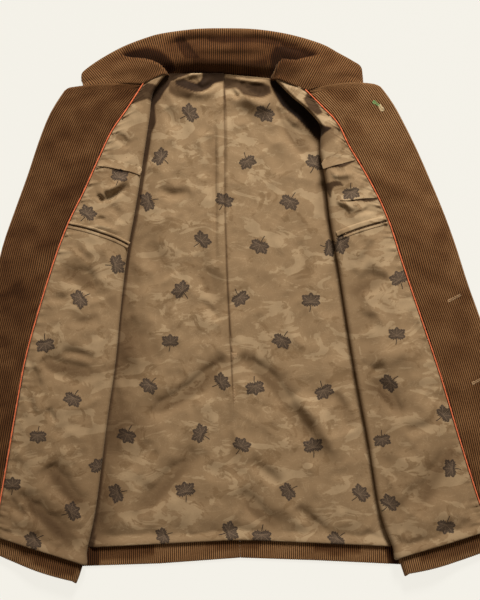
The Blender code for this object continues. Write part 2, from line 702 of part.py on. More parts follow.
# ---------------------------------------------------------------- the sleeves
def make_sleeve(side, table):
    """A sleeve pressed flat: a tube with two walls and a fold along each side, open at head and cuff."""
    places = np.linspace(0, len(table) - 1, SLEEVE_ROWS)
    sleeve = {name: along(column, places) for name, column in columns(SLEEVE_COLUMNS, table).items()}
    over = np.stack((sleeve["over_x"], sleeve["over_y"]), axis=-1)
    under = np.stack((sleeve["under_x"], sleeve["under_y"]), axis=-1)
    radius = (CORDUROY + GAP) / 2 + GAP
    across = under - over
    width = np.linalg.norm(across, axis=-1, keepdims=True)
    across /= width
    ring = [(share, 0.0, -1.0) for share in SLEEVE_STEPS]
    ring.append((1.0, 1.0, 0.0))
    ring += [(share, 0.0, 1.0) for share in SLEEVE_STEPS[::-1]]
    ring.append((0.0, -1.0, 0.0))
    lines = []
    for share, past, up in ring:
        plan = over + across * (CORDUROY + radius + (width - 2 * CORDUROY - 2 * radius) * share)
        plan = plan + across * past * radius
        height = sleeve_bed(plan) + CORDUROY / 2 + radius * (1 + up)
        lines.append(np.concatenate((plan, height[:, None]), axis=1))
    panel("sleeve_" + side, np.stack(lines, axis=1), "corduroy", CORDUROY, 0, round_tube=True)


# ---------------------------------------------------------------- the collar
def make_collar(right, right_flap, left, left_flap):
    """Upper and under collar, from the neck seam and gorges to the outer edge."""
    notch = FLAP_LINING_STEPS + 2 + NOTCH_STEP
    right_top = right[0, right_flap - 1:right_flap + notch + 1][::-1]
    left_top = left[0, left_flap - 1:left_flap + notch + 1]
    neck = [(x, y, BACK_FACE + GAP / 2) for x, y in BACK_NECK]
    around = np.array((-(GAP + LINING + GAP), 0.0, 0.0))
    right_nose = right[:1, right_flap - FOLD_STEPS // 2] - around
    left_nose = left[:1, left_flap - FOLD_STEPS // 2] + around
    seam = np.concatenate((right_top, right_nose, np.array(neck), left_nose, left_top))
    seam[:, 1] += NECK_SEAM
    table = columns(COLLAR_COLUMNS, COLLAR)
    places = np.interp(seam[:, 0], table["neck_x"], np.arange(len(COLLAR)))
    shape = {name: along(column, places) for name, column in table.items()}
    outer = np.stack((shape["edge_x"], shape["edge_y"]), axis=-1)
    lines = []
    for share in COLLAR_STEPS:
        plan = seam[:, :2] + (outer - seam[:, :2]) * share
        resting = CORDUROY + GAP
        edge = np.maximum(resting + COLLAR_EDGE_UP + shape["edge_up"], resting)
        roll = np.maximum(seam[:, 2], edge) * ROLL_SHARE + shape["roll_up"] * ROLL_LIFT
        up = ease(share / shape["roll_at"])
        down = ease((share - shape["roll_at"]) / (1.0 - shape["roll_at"]))
        height = seam[:, 2] + (roll - seam[:, 2]) * up + (edge - roll) * down
        lines.append(np.concatenate((plan, height[:, None]), axis=1))
    surface = np.stack(lines, axis=1)
    lean = np.abs(outward(surface, -1)[:, :1, 1])
    surface[..., 1] += lean * CORDUROY * (1.0 - np.array(COLLAR_STEPS))
    normal = outward(surface, -1)
    panel("top_collar", surface + normal * GAP / 2, "corduroy", CORDUROY, -1)
    panel("under_collar", surface - normal * GAP / 2, "corduroy", CORDUROY, 1)


# ---------------------------------------------------------------- the buttons
def make_buttons(flap):
    """Buttons sewn under the right front, each a disc with a rounded rim."""
    reach = BUTTON_SIZE / 2
    for name, (x, y) in BUTTONS.items():
        around = [(x, y), (x + reach, y), (x - reach, y), (x, y + reach), (x, y - reach)]
        under = height_on(flap, around).min() - CORDUROY - GAP
        disc = bmesh.new()
        bmesh.ops.create_cone(disc, cap_ends=True, segments=BUTTON_SIDES, radius1=BUTTON_SIZE / 2 * MM,
                              radius2=BUTTON_SIZE / 2 * MM, depth=BUTTON_THICK * MM)
        mesh = bpy.data.meshes.new(name)
        disc.to_mesh(mesh)
        disc.free()
        made = place(name, mesh, "button")
        made.location = Vector((x - CENTRE[0], y - CENTRE[1], under - BUTTON_THICK / 2)) * MM
        rim = made.modifiers.new("rim", "BEVEL")
        rim.width = BUTTON_ROUND * MM
        rim.segments = 2


def main():
    """Build the jacket."""
    for old in list(bpy.data.objects):
        bpy.data.objects.remove(old)
    jacket = bpy.data.collections.new("corduroy jacket")
    bpy.context.scene.collection.children.link(jacket)
    make_back()
    right, right_flap, right_top = make_front("right", FRONT_RIGHT, SLEEVE_RIGHT, RIGHT_FOLDS, 1)
    left, left_flap, left_top = make_front("left", FRONT_LEFT, SLEEVE_LEFT, LEFT_FOLDS, -1)
    nose = FOLD_STEPS // 2
    make_back_lining(right[:, right_flap - nose, :2], left[:, left_flap - nose, :2])
    make_sleeve("right", SLEEVE_RIGHT)
    make_sleeve("left", SLEEVE_LEFT)
    make_collar(right, right_flap, left, left_flap)
    make_pocket("right", POCKET_RIGHT, right_top, 1)
    make_pocket("left", POCKET_LEFT, left_top, -1)
    make_buttons(right[:, right_flap:])


main()
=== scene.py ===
"""Corduroy jacket, laid open on its back: its cloth, trim, sewing and studio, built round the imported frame.

Lengths in the tables and in the cloth code are millimetres: X grows towards the wearer's left, Y towards the
collar, and both count from the middle of the neck seam. Left and right are the wearer's. Sizes that are
handed to Blender are metres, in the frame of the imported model.
"""
import logging
import math
from collections.abc import Callable
from dataclasses import dataclass, field
from enum import Enum

import bmesh
import bpy
import numpy as np
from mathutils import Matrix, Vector
from mathutils.bvhtree import BVHTree


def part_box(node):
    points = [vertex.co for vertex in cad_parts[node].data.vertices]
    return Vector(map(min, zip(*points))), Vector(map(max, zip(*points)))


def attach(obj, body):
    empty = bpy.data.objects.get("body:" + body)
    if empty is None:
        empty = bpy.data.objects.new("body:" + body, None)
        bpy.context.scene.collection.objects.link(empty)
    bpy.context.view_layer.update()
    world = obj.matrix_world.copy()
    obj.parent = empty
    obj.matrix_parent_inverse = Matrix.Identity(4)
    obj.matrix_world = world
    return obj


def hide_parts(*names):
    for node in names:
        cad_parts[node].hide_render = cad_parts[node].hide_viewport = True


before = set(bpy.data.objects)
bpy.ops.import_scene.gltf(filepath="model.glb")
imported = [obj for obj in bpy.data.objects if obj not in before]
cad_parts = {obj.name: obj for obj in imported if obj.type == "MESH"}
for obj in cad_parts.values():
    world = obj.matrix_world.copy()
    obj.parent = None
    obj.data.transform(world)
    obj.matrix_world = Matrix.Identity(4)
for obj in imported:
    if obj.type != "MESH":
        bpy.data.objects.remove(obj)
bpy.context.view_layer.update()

Array = np.ndarray
Piece = bpy.types.Object
Material = bpy.types.Material
Socket = bpy.types.NodeSocket
Inputs = dict[str | int, object]
Rows = tuple[tuple[float, ...], ...]
Place = tuple[float, float]
Point = tuple[float, float, float]
Colour = tuple[float, ...]
Hole = tuple[float, float, tuple[Place, ...]]
Face = tuple[int, ...]
log = logging.getLogger("jacket")

MM = 0.001
JOIN = 0.00001  # points nearer than this become one, in metres
BODY = "root"
CENTRE = (19.4, -358.5)  # the middle of the whole jacket in the tables, which is the frame's origin

# ---------------------------------------------------------------- cloth and layers
CORDUROY = 1.6  # thickness of the corduroy, ribs and ground
RIB = 0.7  # how much of it is rib
GROUND = CORDUROY - RIB  # and how much is ground
WALE = 3.17  # from one rib to the next, 8 to the inch
LINING = 1.0
GAP = 0.3  # between two layers
SEAM_HALF = 0.02  # half the gap along the centre-back seam
AIR = 0.8  # extra room over and inside a sleeve
HEM_TURN = 1.0  # what the turned-up hem adds
PIPING = 2.4  # diameter of the piping
PIPING_SLOT = 3.6  # opening between lining and facing that holds it
PIPING_UP = 0.5  # how far it stands out of the opening
PIPING_WAVE = 0.3  # how far it strays up and down
PIPING_BODY = 0.86  # its radius against the full one
PIPING_KNOTS = 0.1  # and how uneven that is
LEAST_SLANT = 0.3  # of a row against the piping, as a sine
EDGE_ROUND = 1.5  # radius of a turned edge
RIB_SHAPE = 0.6  # how round a rib is, where 1 is a plain wave
TINY = 1e-9  # keeps a length from being nothing
LEAST_WALL = 0.06  # share of the ground's thickness that is left at a turned edge
WALL_LEVELS = 25  # steps in which a wall thins towards an edge

BACK_FACE = CORDUROY
LEG_LINING = BACK_FACE + GAP + LINING + GAP
LEG_FACE = LEG_LINING + LINING + GAP
SLEEVE_BED = LEG_FACE + CORDUROY + GAP
SLEEVE_LOFT = 2 * CORDUROY + 2 * GAP + AIR
SIDE_TURN = 4.0
SIDE_BEND = 1.5
ARMHOLE_END = -277.0
SIDE_SEAM_RUN = 60.0
SLOPE_START = 25.0
SLOPE_RUN = 80.0
LINING_PUFF = 6.5  # how far a loose lining stands off the corduroy between its folds
PUFF_RUN = 45.0  # and how far from its seams it takes to rise
FOLD_GAIN = 2.1  # the tables' folds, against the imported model's
CREASE_GAIN = 2.2
CREASE_RUN = 10.0  # creases die out over this length before a seam
CREASE_DARK = 0.07  # shade for each millimetre of a crease's depth
CREASE_DARKEST = 0.4
SWELLS = ((0.7, 26.0), (0.3, 11.0))  # a lining's soft swells: height and size
CRUMPLES = ((1.3, 38.0), (0.65, 17.0))  # and the small sharp creases all over it
CRUMPLE_LEVEL = 0.6
PUCKER_LENGTHS = (7.1, 9.6, 14.3, 23.0)
PUCKER_HEIGHT = 1.3
PUCKER_RUN = 9.0
PUCKER_START = 2.0  # distance from the seam at which a pucker is whole
PUCKER_DIP = -0.5
HEM_LIFT = 5.0  # a lining's hem stands this far off the corduroy
HEM_REACH = 12.0  # and comes down over this length above it
HEM_ROLL = 2.0  # radius with which it is turned under
LEAST_ROLL = 0.6
ARC_STEP = 30  # degrees from one row to the next round a turned hem
HEM_TUCK = 5.0  # length turned under
HEM_STEP = 0.03  # share of the turned-up hem over which it reaches its full thickness
TURN_UP = 0.5  # the turned-up hem's good side, above the panel's inner face
TURN_END = 11.9  # row where the turned-up hem ends, under the lining
HEM_ROWS = 4  # rows of a panel's outside below the lining
TURN_ROWS = 6  # and of the turned-up part
FACING_REST = 0.4  # room under the facing
FACING_WAVE = 0.9  # its soft unevenness
FACING_HUMP = 34.0  # the size of it
FACING_STRETCH = (0.55, 1.0, 1.0)
FACING_RISE = 20.0  # and how far in from the edges it starts
NOTCH_SUNK = 0.6  # room that the lapel leaves where it is sewn to the collar
NAP_BLOTCHES = ((0.2, 24.0), (0.13, 9.0))  # how light and how large the brushed blotches are
NAP_STRETCH = (0.6, 1.0)
NAP_LIMIT = 0.4
NECK_SEAM = -0.7  # the collar's edge lies this far from the edges that it is sewn to
NECK_UNDER = 2.6  # and this much further under the back lining
COLLAR_EDGE_UP = 2.0
COLLAR_RIM_HIGHLIGHT = 0.5  # painted highlight: how much lighter the ribs are along the collar's edge
FACING_RIM_HIGHLIGHT = 0.4  # and along the lapels' and facings'
RIM_RUN = 4.5
EVEN_SHARE = 0.7  # the collar's ribs are evenly spaced at this share of its width
ROLL_SHARE = 0.6
ROLL_LIFT = 0.8
SEAM_STEP = 0.5  # between the points of the collar's seam
LEVEL_REACH = 34.0  # the collar evens out the steps in its seam over this length each way
SEAM_SHARE = 0.12  # and keeps to the seam itself only over this share of its width
NOTCH_SHARE = 0.78  # the collar ends at this share of the facing's top
LAPEL_ROUND = 6.5  # radius of the lapel's corner
LAPEL_COURSE = 0.3  # row at which the front edge's course below it is read
LAPEL_END = 1.1  # its arc is held at this share of the radius
GRAIN_ROWS = (10, 11)  # rows of the fronts' tables whose line the grain keeps to, down to the hem
HEM_LINE = 12.0  # row of the front's and back's tables where the lining ends
LAST_ROW = 13.0

# ---------------------------------------------------------------- sections from the shoulder to the hem
FRONT_COLUMNS = ("side_x", "side_y", "fold_x", "fold_y", "seam_x", "seam_y", "edge_x", "edge_y",
                 "fold_up", "seam_up", "edge_up", "lining_bow", "facing_bow")
FRONT_RIGHT: Rows = (
    (-233, -57, -91, -1, -127, -18, -246, -25, 4, 3, 2, 0, 3),
    (-225, -92, -112, -31, -152, -57, -270, -63, 6, 4, 2, 0, 1),
    (-222, -132, -118, -71, -176, -92, -288, -106, 5, 4, 2, 0, 0),
    (-226, -179, -125, -117, -197, -136, -306, -159, 4, 3, 1, 0, 0),
    (-239, -231, -133, -171, -219, -185, -325, -211, 4, 3, 1, 0, 0),
    (-259, -277, -142, -225, -243, -234, -343, -263, 5, 3, 1, 0, 0),
    (-262, -328, -153, -286, -265, -293, -357, -320, 5, 3, 2, 0, 0),
    (-256, -394, -163, -374, -290, -374, -376, -393, 4, 3, 2, 0, 0),
    (-253, -462, -170, -447, -309, -444, -391, -462, 4, 3, 2, 0, 0),
    (-253, -528, -180, -517, -322, -513, -405, -531, 4, 3, 2, 0, 0),
    (-256, -605, -191, -601, -336, -594, -417, -605, 4, 3, 2, 0, 0),
    (-256, -680, -202, -682, -348, -662, -422, -658, 5, 3, 2, 0, 0),
    (-253, -735, -219, -757, -356, -713, -417, -697, 6, 3, 2, 0, 0),
    (-253, -762, -229, -787, -362, -739, -400, -724, 6, 2, 1, -4, 0),
)
FRONT_LEFT: Rows = (
    (225, -62, 74, -9, 123, -29, 236, -20, 4, 4, 3, 0, 7),
    (217, -97, 99, -35, 148, -54, 257, -49, 8, 5, 3, 0, 2),
    (213, -136, 125, -57, 172, -80, 277, -85, 12, 6, 2, 0, 0),
    (217, -182, 145, -83, 189, -114, 296, -123, 13, 6, 2, 0, 0),
    (234, -234, 145, -123, 213, -154, 316, -168, 12, 5, 1, 0, 0),
    (262, -277, 154, -172, 236, -197, 336, -216, 10, 5, 1, 0, 0),
    (268, -328, 160, -225, 253, -237, 354, -266, 8, 4, 1, 0, 0),
    (265, -394, 172, -293, 271, -293, 373, -326, 6, 4, 1, 0, 0),
    (262, -462, 186, -382, 300, -379, 397, -394, 5, 4, 1, 0, 0),
    (265, -528, 200, -467, 330, -468, 422, -477, 5, 4, 1, 0, 0),
    (274, -605, 219, -567, 360, -567, 444, -567, 5, 4, 1, 0, 0),
    (283, -680, 238, -680, 389, -658, 460, -650, 6, 4, 1, 0, 0),
    (285, -731, 264, -748, 407, -704, 455, -690, 7, 4, 1, 0, 0),
    (286, -759, 274, -776, 413, -733, 437, -721, 7, 3, 1, -4, 0),
)
BACK_COLUMNS = ("side_x", "side_y", "neck_x", "neck_y", "centre_x", "centre_y")
BACK_RIGHT: Rows = (
    (-233, -57, -90, -2, -3, -3),
    (-225, -92, -95, -50, -3, -50),
    (-222, -132, -98, -105, -2, -105),
    (-226, -179, -102, -160, -1, -160),
    (-239, -231, -106, -215, 0, -212),
    (-259, -277, -110, -270, 2, -265),
    (-262, -328, -110, -325, 4, -320),
    (-256, -394, -108, -392, 7, -388),
    (-253, -462, -105, -460, 10, -455),
    (-253, -528, -103, -526, 13, -520),
    (-256, -605, -102, -601, 16, -596),
    (-256, -680, -102, -675, 19, -670),
    (-254, -733, -102, -727, 21, -720),
    (-255, -762, -102, -757, 22, -748),
)
BACK_LEFT: Rows = (
    (225, -62, 73, -10, -3, -3),
    (217, -97, 80, -55, -3, -50),
    (213, -136, 86, -108, -2, -105),
    (217, -182, 92, -162, -1, -160),
    (234, -234, 98, -217, 0, -212),
    (262, -277, 105, -268, 2, -265),
    (268, -328, 112, -324, 4, -320),
    (265, -394, 116, -391, 7, -388),
    (262, -462, 120, -459, 10, -455),
    (265, -528, 124, -525, 13, -520),
    (274, -605, 129, -600, 16, -596),
    (283, -680, 132, -676, 19, -670),
    (285, -731, 136, -724, 21, -720),
    (286, -759, 138, -752, 22, -748),
)
# The pleat: y, its folded edge, how deep it folds under, and 1 where folded to 0 where it lies open.
PLEAT: Rows = (
    (-3, -4, 18, 1.0),
    (-105, -2, 18, 1.0),
    (-212, -2, 18, 1.0),
    (-320, 1, 18, 1.0),
    (-400, 5, 18, 1.0),
    (-430, 7, 14, 1.0),
    (-465, 8, 4, 0.8),
    (-500, 10, -8, 0.4),
    (-540, 12, -14, 0.0),
    (-760, 21, -14, 0.0),
)
SLEEVE_COLUMNS = ("over_x", "over_y", "under_x", "under_y")
SLEEVE_RIGHT: Rows = (
    (-222, -72, -259, -262),
    (-186, -110, -281, -288),
    (-166, -170, -309, -316),
    (-166, -243, -331, -356),
    (-174, -320, -343, -407),
    (-184, -397, -350, -474),
    (-191, -474, -355, -550),
    (-200, -551, -358, -621),
    (-206, -628, -359, -662),
    (-212, -680, -358, -694),
)
SLEEVE_LEFT: Rows = (
    (214, -78, 262, -262),
    (190, -120, 284, -288),
    (176, -172, 311, -317),
    (180, -235, 338, -356),
    (191, -312, 360, -406),
    (205, -390, 377, -470),
    (218, -467, 390, -540),
    (234, -545, 400, -611),
    (247, -622, 404, -652),
    (258, -674, 405, -688),
)
COLLAR_COLUMNS = ("neck_x", "edge_x", "edge_y", "roll_up", "edge_up", "roll_at")
COLLAR: Rows = (
    (-221, -221.5, -14, 0.6, 0, 0.40),
    (-209, -223, -2, 2, 0, 0.40),
    (-188, -212, 9, 4, -1, 0.38),
    (-151, -188, 25, 6, -2, 0.36),
    (-125, -157, 41.5, 8, -3, 0.34),
    (-102, -122, 54.7, 10, -2, 0.32),
    (-84, -96, 61, 14, 1, 0.30),
    (-46, -46, 67, 17, 4, 0.28),
    (-3, 0, 67.9, 18, 5, 0.28),
    (40, 40, 67, 17, 4, 0.28),
    (62, 77, 63, 15, 1, 0.30),
    (84, 112, 56, 12, -2, 0.32),
    (112, 149.5, 44, 9, -3, 0.34),
    (142, 173.5, 31, 7, -2, 0.36),
    (170, 194.5, 19.2, 5, -1, 0.38),
    (194, 209, 8, 2, 0, 0.40),
    (212, 210.5, -14, 0.6, 0, 0.40),
)
BACK_NECK = ((-62, -2.3), (-33, -2.6), (-3, -3), (22, -5.3), (47, -7.6))

# ---------------------------------------------------------------- folds: three points, half width, height
FOLD_COLUMNS = ("x0", "y0", "x1", "y1", "x2", "y2", "width", "height")
FOLD_LINE_POINTS = 9
FOLD_TAPER = 0.8  # how bluntly a fold dies out at its ends
WAVE_SPREAD = (0.6, 1.6)  # length of a wave of soft unevenness, against its size
BACK_FOLDS: Rows = (
    (-86, -14, -45, -28, -5, -17, 12, 7),
    (5, -20, 35, -38, 72, -56, 14, 6),
    (0, -436, -51, -491, -140, -537, 16, -4),
    (17, -437, 75, -484, 165, -607, 16, -4),
    (108, -496, 142, -542, 176, -601, 15, 5),
    (-37, -577, -95, -641, -149, -698, 18, -4),
    (22, -641, 49, -679, 92, -707, 16, -4),
    (88, -74, 109, -106, 128, -128, 14, -4),
    (-131, -253, -106, -291, -88, -317, 18, -3),
    (-45, -280, -25, -322, -8, -383, 16, -3),
)
BACK_CREASES: Rows = (
    (-55, -8, -37, -26, -12, -9, 5, -4),
    (-83, -12, -55, -4, -22, -1, 5, 2.5),
    (-5, -2, 3, -11, 11, -22, 5, -4),
    (8, -25, 18, -37, 29, -26, 4, -3),
    (9, -8, 37, -13, 65, -15, 4, 2.5),
    (22, -18, 43, -28, 65, -37, 8, -3.5),
    (-26, -97, -23, -143, -22, -197, 7, -2.5),
    (-105, -180, -83, -188, -55, -182, 8, -3),
    (-42, -313, -31, -328, -26, -343, 5, -1.5),
    (-40, -351, -22, -367, -9, -385, 5, -1.5),
    (0, -436, -45, -484, -117, -528, 9, -2),
    (22, -439, 55, -464, 99, -508, 8, -2),
    (-17, -80, -17, -143, -16, -300, 3.5, -2.2),
    (81, -54, 96, -88, 126, -118, 6, -3),
    (-40, -582, -86, -631, -132, -678, 9, -1.5),
    (35, -596, 63, -619, 85, -636, 9, -3),
    (26, -647, 49, -679, 83, -702, 8, -1.5),
    (108, -670, 131, -691, 152, -713, 8, -3),
    (168, -493, 183, -524, 194, -554, 8, -3),
    (-92, -55, -85, -71, -79, -89, 10, -2),
    (92, -77, 109, -106, 123, -125, 8, -2),
    (-117, -567, -132, -590, -143, -613, 8, -2),
    (114, -259, 123, -305, 119, -351, 10, -1.5),
    (3, -536, 9, -582, 15, -628, 9, -1.5),
)
RIGHT_FOLDS: Rows = (
    (-185, -185, -159, -172, -139, -163, 14, 3),
    (-266, -310, -222, -314, -196, -351, 18, -4),
    (-285, -442, -239, -460, -185, -470, 18, -4),
    (-273, -604, -257, -630, -208, -679, 18, -4),
    (-320, -647, -262, -701, -231, -730, 18, -4),
)
RIGHT_CREASES: Rows = (
    (-171, -97, -160, -105, -149, -116, 6, -2.5),
    (-256, -313, -225, -314, -199, -336, 7, -2.5),
    (-274, -340, -260, -348, -240, -350, 6, -2),
    (-254, -430, -222, -434, -202, -442, 7, -2.5),
    (-285, -442, -256, -459, -206, -462, 8, -3),
    (-302, -448, -293, -471, -285, -488, 6, -2),
    (-188, -462, -176, -454, -166, -447, 5, -4),
    (-305, -491, -300, -510, -294, -528, 6, -2),
    (-274, -517, -268, -528, -262, -539, 5, -2),
    (-273, -604, -246, -644, -208, -679, 8, -2),
    (-320, -647, -279, -685, -231, -730, 8, -2),
    (-342, -656, -323, -671, -305, -685, 6, -2),
    (-176, -205, -163, -220, -151, -231, 6, -1.5),
    (-233, -266, -217, -282, -206, -293, 6, -1.5),
    (-240, -382, -217, -385, -194, -379, 8, -1.5),
    (-209, -551, -200, -574, -197, -598, 8, -2),
    (-199, -187, -172, -180, -151, -161, 5, 2.4),
    (-190, -198, -168, -188, -148, -176, 5, -2.2),
    (-198, -190, -194, -195, -188, -201, 2.5, -2.6),
    (-193, -186, -188, -191, -183, -195, 2.5, 1.6),
    (-201, -229, -193, -226, -184, -228, 2.5, -1.6),
    (-212, -243, -190, -238, -165, -247, 4, 1.4),
)
LEFT_FOLDS: Rows = (
    (251, -319, 208, -334, 191, -348, 18, -4),
    (203, -447, 246, -436, 310, -428, 18, 2.6),
    (209, -476, 236, -491, 279, -530, 18, -4),
    (360, -565, 323, -621, 291, -682, 20, -4),
)
LEFT_CREASES: Rows = (
    (251, -319, 219, -325, 191, -348, 7, -2),
    (192, -444, 203, -449, 214, -456, 5, -3.2),
    (206, -464, 223, -459, 245, -454, 7, -1.6),
    (214, -480, 245, -499, 274, -527, 7, -2),
    (356, -574, 326, -613, 296, -671, 8, -2),
    (149, -111, 162, -102, 176, -91, 6, -3),
    (140, -59, 149, -65, 159, -71, 4, -3),
    (160, -420, 194, -397, 237, -385, 8, -1.5),
    (225, -259, 216, -282, 200, -302, 7, -1.5),
    (299, -628, 276, -659, 265, -690, 7, -1.5),
    (330, -521, 306, -544, 276, -554, 7, -1.5),
    (183, -370, 206, -379, 234, -376, 6, -1.5),
    (166, -208, 177, -213, 190, -221, 3.5, -3),
    (169, -199, 183, -204, 197, -213, 4, 2),
    (156, -131, 171, -138, 190, -137, 4, -2.2),
    (152, -148, 168, -160, 196, -158, 5, 1.8),
    (196, -222, 214, -214, 240, -210, 4, -1.8),
)

# ---------------------------------------------------------------- printed leaves: x, y, turn in degrees, size
LEAF_SIZE = 14.8  # millimetres for one unit of the leaf's own coordinates
BACK_LEAVES: Rows = (
    (-54, -62, -55, 1.05), (59, -66, 160, 1.1), (-103, -129, 55, 1.0), (34, -140, -155, 0.95),
    (139, -137, -20, 1.1), (-123, -200, 110, 1.05), (-2, -196, -20, 1.0), (97, -202, 155, 1.05),
    (-35, -257, -45, 1.0), (51, -270, 160, 1.05), (162, -271, -100, 0.95), (-71, -334, 45, 1.05),
    (23, -350, -145, 1.0), (131, -350, 0, 1.05), (-86, -413, 0, 0.95), (85, -416, 155, 1.05),
    (-120, -485, 145, 1.0), (-5, -476, -55, 1.0), (45, -488, 190, 1.05), (152, -494, -155, 1.05),
    (-154, -562, 160, 1.05), (-42, -556, 65, 1.05), (25, -573, -25, 1.0), (134, -574, 10, 1.1),
    (-171, -650, 110, 1.05), (-63, -642, 10, 1.1), (94, -647, 125, 1.0), (209, -648, -45, 1.05),
    (-99, -716, 115, 0.95), (8, -707, -65, 1.1), (55, -718, 180, 1.1), (169, -722, 135, 1.0),
)
RIGHT_LEAVES: Rows = (
    (-163, -159, -10, 0.95), (-211, -216, -35, 1.0), (-166, -296, -80, 1.05), (-226, -351, 125, 1.05),
    (-277, -422, 190, 1.05), (-236, -505, 155, 1.0), (-288, -562, 180, 0.95), (-197, -604, 25, 1.0),
    (-328, -633, 0, 1.0), (-234, -675, -65, 1.05), (-297, -722, 125, 1.05),
)
LEFT_LEAVES: Rows = (
    (192, -189, 190, 0.95), (179, -266, -110, 1.05), (265, -316, 25, 1.05), (262, -402, 0, 0.95),
    (249, -480, 135, 1.05), (337, -525, -45, 1.0), (240, -568, 190, 0.95), (343, -610, 90, 1.0),
    (253, -661, -35, 1.05), (337, -701, 170, 1.05),
)


# ---------------------------------------------------------------- painted shade in hollows and gaps, painted light, and the cloth's lightness
# Hollows that light hardly reaches: how dark, how softly they end, and their outline.
RIGHT_HOLES = (
    (0.86, 2.5, ((-127, -24), (-144, -49), (-121, -41), (-108, -49), (-104, -36), (-109, -21),
                 (-121, -19))),
    (0.3, 6.0, ((-170, -346), (-183, -348), (-176, -362), (-168, -362))),
    (0.42, 7.0, ((-170, -24), (-134, -20), (-143, -36), (-160, -38))),
    (0.25, 9.0, ((-228, -62), (-196, -60), (-192, -72), (-226, -76))),
)
LEFT_HOLES = (
    (0.84, 2.0, ((178, -174), (175, -170), (169, -169), (163, -170), (158, -172), (153, -172), (161, -193),
                 (162, -183), (164, -178), (168, -176), (173, -175), (180, -175))),
    (0.95, 3.0, ((140, -77), (152, -86), (160, -88), (152, -94), (146, -100))),
    (0.86, 4.0, ((126, -34), (140, -52), (146, -64), (140, -66), (128, -56), (121, -44))),
    (0.45, 10.0, ((148, -112), (162, -100), (177, -91), (170, -86), (156, -94))),
    (0.34, 9.0, ((158, -28), (200, -31), (200, -41), (172, -43))),
    (0.34, 9.0, ((184, -74), (204, -81), (206, -92), (190, -94))),
)
BACK_HOLES = (
    (0.94, 3.5, ((-77, -13), (-65, -11), (-55, -15), (-45, -18.5), (-38.5, -14.6), (-35, -8), (-35, 0),
                 (-3, 0), (-3, -12), (-18, -15), (-23, -20), (-29, -24.6), (-37, -29), (-46, -31),
                 (-55, -27.7), (-65, -24), (-77, -18.5))),
    (0.68, 6.0, ((-86, -16), (-72, -16), (-62, -24), (-52, -32), (-58, -38), (-74, -36), (-86, -30))),
    (0.87, 4.5, ((-1.5, -9), (15, -12.5), (26, -16), (34, -18.5), (55, -18.5), (66, -21.6), (68, -31),
                 (56, -37), (40, -37), (28, -34), (22, -27), (15, -22), (3, -24), (-1.5, -24))),
    (0.9, 1.6, ((-96, -17), (-88, -14), (-80, -11), (-74, -7.7), (-68, -6.2), (-62, -4), (-55, -1.5),
                (-55, 6), (-96, 6))),
    (0.42, 7.0, ((80, -54), (88, -76), (99, -93), (126, -118), (95, -88), (86, -72))),
)
# The shadow of the linings' hems on the turned-up hems, right front, back and left front.
HEM_HOLES = (
    (0.6, 5.0, ((-322, -722), (-290, -735), (-240, -755), (-228, -760), (-236, -773), (-262, -771),
                (-290, -757), (-322, -733))),
    (0.85, 5.0, ((-224, -722), (-203, -726), (-196, -745), (-199, -764), (-224, -764))),
    (0.62, 3.0, ((-199, -724), (-112, -720), (-112, -745), (-150, -748), (-199, -750))),
    (0.5, 3.0, ((-30, -720), (55, -722), (50, -733), (8, -737), (-30, -731))),
    (0.55, 3.0, ((138, -726), (206, -731), (206, -741), (170, -744), (138, -738))),
    (0.85, 4.0, ((246, -728), (264, -728), (264, -764), (254, -764))),
    (0.5, 4.0, ((300, -735), (345, -722), (391, -706), (391, -730), (345, -746), (300, -752))),
)
# Painted shade on the collar where it sinks between its folds and behind the front parts: how dark, how
# softly it ends, and the outline.
COLLAR_HOLES = (
    (0.82, 6.0, ((-77, 52), (-66, 54), (-52, 34), (-42, 21), (-62, 22), (-72, 38))),
    (0.8, 7.0, ((-28, 53), (0, 54), (40, 53), (78, 50), (108, 42), (76, 43), (50, 46), (20, 47), (-4, 45),
                (-24, 48))),
    (0.9, 11.0, ((-154, 27), (-147, 30), (-134, 33), (-122, 34), (-106, 30), (-94, 22), (-84, 13), (-80, 5),
                 (-86, 1), (-94, 6), (-103, 13), (-114, 18), (-125, 21), (-145, 22))),
    (0.9, 13.0, ((90, 37), (108, 35), (124, 31), (134, 28), (131, 25), (123, 22), (108, 18), (95, 18.5),
                 (85, 20), (80, 15), (76, 7), (72, 12), (72, 26), (78, 35))),
    (0.7, 9.0, ((-48, 18), (0, 15), (60, 15), (60, 12), (0, 12), (-48, 12))),
)
# Down each front's fold: y, width of the painted shade in the gap beside it, and how dark it is.
RIGHT_GAP: Rows = (
    (0, 10, 0.8), (-20, 15, 0.93), (-40, 14, 0.93), (-50, 7, 0.93), (-62, 9, 0.9), (-78, 12, 0.9),
    (-92, 8, 0.9), (-120, 8, 0.9), (-160, 7, 0.88), (-290, 6, 0.86), (-420, 4, 0.85), (-560, 4, 0.85),
    (-700, 6, 0.88), (-760, 16, 0.9),
)
LEFT_GAP: Rows = (
    (0, 6, 0.7), (-14, 9, 0.97), (-30, 15, 0.98), (-50, 21, 0.98), (-85, 21, 0.98), (-98, 13, 0.96),
    (-106, 3, 0.8), (-165, 2, 0.6), (-172, 8, 0.66), (-225, 7, 0.66), (-238, 3, 0.6), (-500, 2, 0.6),
    (-760, 3, 0.7),
)
# The soft shade that the right front throws past that gap: y, how dark it is and how far it reaches.
RIGHT_VEIL: Rows = (
    (0, 0.0, 20), (-250, 0.36, 26), (-366, 0.5, 32), (-428, 0.68, 68), (-490, 0.48, 36), (-551, 0.72, 84),
    (-613, 0.44, 32), (-675, 0.74, 46), (-760, 0.56, 38),
)
# Painted light on the right and the left facing: y, and how much lighter it is, from the collar down.
RIGHT_FACING_PAINTED_LIGHT: Rows = ((0, -0.12), (-60, -0.05), (-150, -0.13), (-240, -0.28), (-500, -0.34), (-760, -0.42))
LEFT_FACING_PAINTED_LIGHT: Rows = ((0, 0.3), (-40, 0.75), (-110, 0.75), (-180, 0.35), (-260, 0.15), (-760, 0.15))
# How much lighter the corduroy panels are, from the collar down to their turned-up hems.
HEM_LIGHTNESS: Rows = ((0, 0.2), (-760, 0.9))
